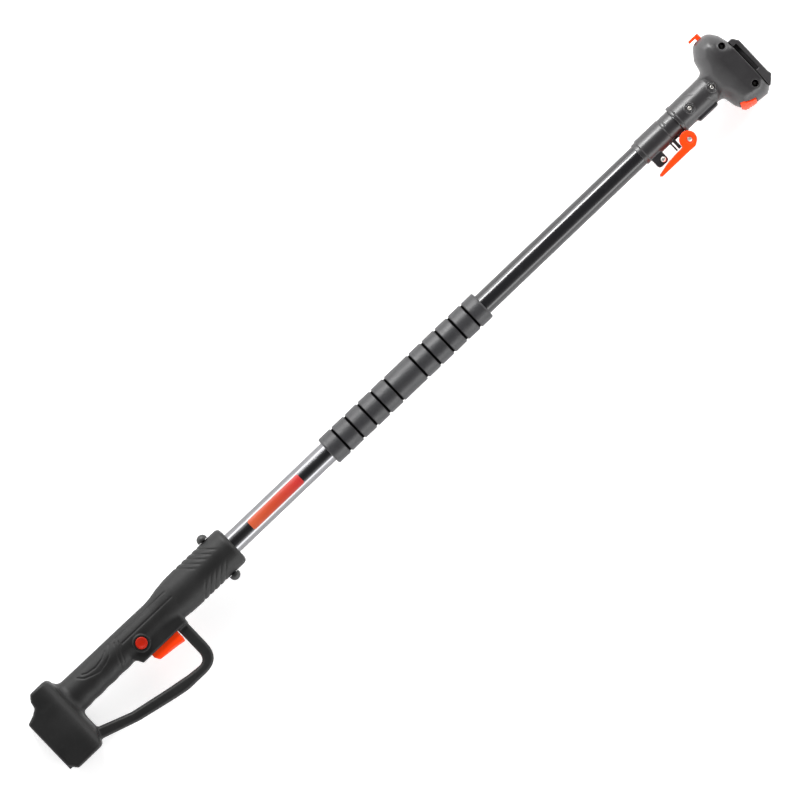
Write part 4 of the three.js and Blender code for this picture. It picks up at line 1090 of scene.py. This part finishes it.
neck_from = tool_mm(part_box("head_shell_right")[0])[0]
head_from = neck_from + 60
head_to = neck_from + 110
head_edge = rounded([
    (head_from - 5, -17), (head_from + 1.5, -22, 9), (head_from + 4.8, -36, 10), (head_from + 17, -51.6, 12),
    (head_from + 38, -51.4, 14), (head_from + 46.6, -39, 8), (head_to - 0.2, -28, 3), (head_to + 30, -28),
    (head_to + 30, 48.4), (head_to - 0.2, 48.4, 2), (head_from + 42, 53, 3), (head_from + 27, 51.6, 8),
    (head_from + 10, 48.6, 8), (head_from + 4, 36, 10), (head_from + 1, 21, 8), (head_from - 5, 17),
])
neck_radii = ([neck_from, neck_from + 1, neck_from + 4, neck_from + 5, neck_from + 40, head_from + 8],
              [18.4, 19.0, 19.0, 18.2, 18.4, 19.0])
belly_outline = rounded([(neck_from + 17, 8), (neck_from + 21, 21.8, 3), (neck_from + 50, 21.8, 3),
                         (neck_from + 54, 8)])
neck_screw_at = [node_centre(f"neck_screw_{i}") for i in (1, 2)]
head_screw_at = [node_centre(f"head_screw_{i}") for i in (1, 2)]
latch_at = (head_from + 17.2, 47.2)
latch_half = ([-10, -5, 10], [20.6, 25.6, 26])
POCKET_REACH = 5.2
BUTTON_SKIN = 2.9
press = (POCKET_REACH * math.sin(FLANK_SLOPE), POCKET_REACH * math.cos(FLANK_SLOPE))
hook_mid = node_ends("latch_hook")[1][0] - 3
neck_creases = [
    [(neck_from + 28.7, -15), (neck_from + 35.7, -8.6)],
    [(neck_from + 47.3, 7.7), (neck_from + 50.7, 18)],
]


def on_flank(x, y):
    """Places measured from the release button's middle: along the head's sloping flank and out of it."""
    ahead, aside = x - latch_at[0], y - latch_at[1]
    rise, level = math.sin(FLANK_SLOPE), math.cos(FLANK_SLOPE)
    return ahead * level + aside * rise, aside * level - ahead * rise


def head_outside(x, y, z):
    """The neck and the head without their bores: the flanks fall away towards the edge and the neck."""
    flat = (x[..., 0], y[..., 0])
    radius = np.interp(x, *neck_radii).astype(np.float32)
    neck = np.maximum(bar(y, z, radius), slab_cut(x, neck_from, head_from + 8))
    marks = sum(0.5 * np.exp(-((path_distance(line, *flat) / 0.6) ** 2)) for line in neck_creases)
    neck = neck + marks[..., None]
    whole = join(neck, drawn_out(outline_distance(belly_outline, *flat), z, 9, 2.5), 2.0)
    edge = outline_distance(head_edge, *flat)
    to_back = np.clip((head_to - 20 - x) / 30, 0, 1)
    to_side = np.clip((np.abs(y - 1) - 12) / 42, 0, 1)
    half = 39 - 16 * to_back ** 1.4 - 12 * to_side ** 2.4
    side = edge[..., None] + 16
    top = (np.abs(z) - half) * 0.88 + 16
    soft = np.minimum(np.maximum(side, top), 0) + np.hypot(np.maximum(side, 0), np.maximum(top, 0)) - 16
    return join(whole, -join(-soft, head_to - 0.2 - x, 1.2), 3)


def head_shape(x, y, z):
    flat = (x[..., 0], y[..., 0])
    whole = head_outside(x, y, z)
    for along, across, _ in neck_screw_at:
        boss = standing(x, y, along, across, 6.4)
        whole = join(whole, np.maximum(boss, np.maximum(z - 19.9, 8 - z)), 0.5)
        groove = np.abs(standing(x, y, along, across, 5.2))
        whole = whole + 0.9 * np.exp(-((groove / 0.55) ** 2)) * (z > 10)
        whole = cut(whole, np.maximum(standing(x, y, along, across, 3.3), 17.0 - z), 0.35)
    for along, across, _ in head_screw_at:
        rim = np.abs(standing(x, y, along, across, 5.4))
        whole = whole + 0.3 * np.exp(-((rim / 0.5) ** 2)) * (z > 20)
        whole = cut(whole, np.maximum(standing(x, y, along, across, 4.2), 9 - z), 0.6)
    inside = np.maximum(head_outside(x, y, z) + 4, head_from + 4 - x)
    columns = np.minimum(standing(x, y, *head_screw_at[0][:2], 7), standing(x, y, *head_screw_at[1][:2], 7))
    run, out = on_flank(x, y)
    frame_wall = np.maximum(np.abs(run) - 12.9, np.maximum(slab_cut(out, -18, 6), np.abs(z) - 37))
    hook_wall = np.maximum(np.abs(x - hook_mid) - 7, np.maximum(slab_cut(y, -60, -24), np.abs(z) - 13))
    kept = np.minimum(columns, np.minimum(frame_wall, hook_wall))
    whole = cut(whole, np.maximum(inside, -kept), 0.3)
    whole = cut(whole, np.maximum(bar(y, z, 12.5), slab_cut(x, neck_from - 1, head_from - 12.7)), 0.4)
    whole = cut(whole, np.maximum(bar(y, z, 9), slab_cut(x, head_from - 14, head_from + 12)), 0.3)
    pocket_floor = -BUTTON_SKIN - head_outside(x - press[0], y + press[1], z)
    pocket_side = np.abs(z) - np.interp(run, *latch_half) - 0.4
    pocket = np.maximum(np.abs(run) - 10.3, np.maximum(pocket_floor, pocket_side))
    whole = cut(whole, np.maximum(pocket, -out - 20), 0.4)
    hook_slot = np.maximum(np.abs(x - hook_mid) - 3.4, np.maximum(slab_cut(y, -70, -34), np.abs(z) - 9.4))
    whole = cut(whole, hook_slot, 0.4)
    spring_way = np.maximum(np.hypot(x - hook_mid, z) - 3.6, slab_cut(y, -36, -20))
    whole = cut(whole, spring_way, 0.3)
    latch_way = np.maximum(np.hypot(run, z) - 4.2, slab_cut(out, -12.2, 0))
    whole = cut(whole, latch_way, 0.3)
    whole = cut(whole, box_cut(x, y, z, (head_to - 8, head_to + 5), (-16, 20), 22), 0.4)
    for along, across, _ in head_screw_at:
        leg = box_cut(x, y, z, (along - 8.3, head_to + 5), (across - 6.3, across + 6.3), 6.3)
        whole = cut(whole, leg, 0.3)
        whole = cut(whole, np.maximum(standing(x, y, along, across, 1.8), slab_cut(z, -14, 12)), 0.2)
    return whole


HEAD_STEP = 0.7
for side, half, low_z, high_z in (("right", right_half, 0, 39), ("left", left_half, -39, 0)):
    shell = cast(f"head_{side}", (1063, -52, low_z), (1174, 54, high_z), HEAD_STEP, half(head_shape))
    finish_piece(shell, head_grey, "mast", "head_plastic", f"head_shell_{side}")


# ------------------------------------------------------------------ tool plate
# A darker nylon plate on the head's front. A groove behind each of its ends takes the cutting tool's
# tongues, and a window in the middle its plug. Two legs go back into the head, for the long screws.

plate_front = tool_mm(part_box("tool_plate")[1])[0]
plate_back = head_to + 0.3
plate_edge = rounded([
    (plate_back, -25.2, 1), (head_to + 5.5, -25.2, 5), (plate_front - 0.6, -17.5, 4),
    (plate_front - 1.2, 32, 4), (plate_front, 38, 1.5), (head_to + 5, 44.5, 2), (plate_back, 48.5, 1),
])


def plate_shape(x, y, z):
    flat = (x[..., 0], y[..., 0])
    whole = drawn_out(outline_distance(plate_edge, *flat), z, 37, 1.4)
    for along, across, _ in head_screw_at:
        leg = box_cut(x, y, z, (along - 8, plate_back + 2), (max(across - 6, -25), across + 6), 6)
        whole = np.minimum(whole, leg)
    groove = np.maximum(slab_cut(x, plate_back - 1, head_to + 5.6), slab_cut(y, -17, 23))
    whole = cut(whole, np.maximum(groove, 27 - np.abs(z)), 0.4)
    whole = cut(whole, box_cut(x, y, z, (plate_back - 1, plate_front + 1), (-10, 12), 14), 0.5)
    for along, across, _ in head_screw_at:
        whole = cut(whole, standing(x, y, along, across, 1.8), 0.2)
    ribs = np.abs(np.mod(z + 6, 12) - 6) - 0.4
    face = np.maximum(slab_cut(y, -12, 30), np.maximum(plate_front - 1.6 - x, np.abs(z) - 31))
    return cut(whole, np.maximum(face, ribs), 0.3)


plate_grey = moulded_plastic("plate_grey", (0.020, 0.019, 0.020), (0.026, 0.025, 0.026), 0.45, depth=0.2)
plate = cast("tool_mount", (1155, -27, -37), (1186, 49, 37), 0.5, plate_shape)
finish_piece(plate, plate_grey, "mast", "plate_plastic", "tool_plate")


# ------------------------------------------------------------------ release button and hook
# Both are orange acetal like the lever. The button has low grip ribs and sinks into the head's flank;
# the hook stands out of the back edge and gives as the tool snaps on.


def release_shape(x, y, z):
    run, out = on_flank(x, y)
    ribs = 0.35 * np.cos(run * 2 * np.pi / 3.3) * (np.abs(run) < 6)
    proud = head_outside(x, y, z) - 1.2 + ribs
    high = np.abs(z) - np.interp(run, *latch_half)
    body = np.maximum(np.abs(run) - 9.9, np.maximum(high, -BUTTON_SKIN - head_outside(x, y, z)))
    return cut(np.maximum(body, -out - 20), -proud, 1.0)


release = cast("release_button", (1126, 34, -26), (1156, 58, 26), 0.45, release_shape)
finish_piece(release, orange, "latch_button", "orange_plastic", "latch_button")
finish_piece(refined("snap_hook", "latch_hook", 0.6, 3), orange, "latch_hook", "orange_plastic", "latch_hook")
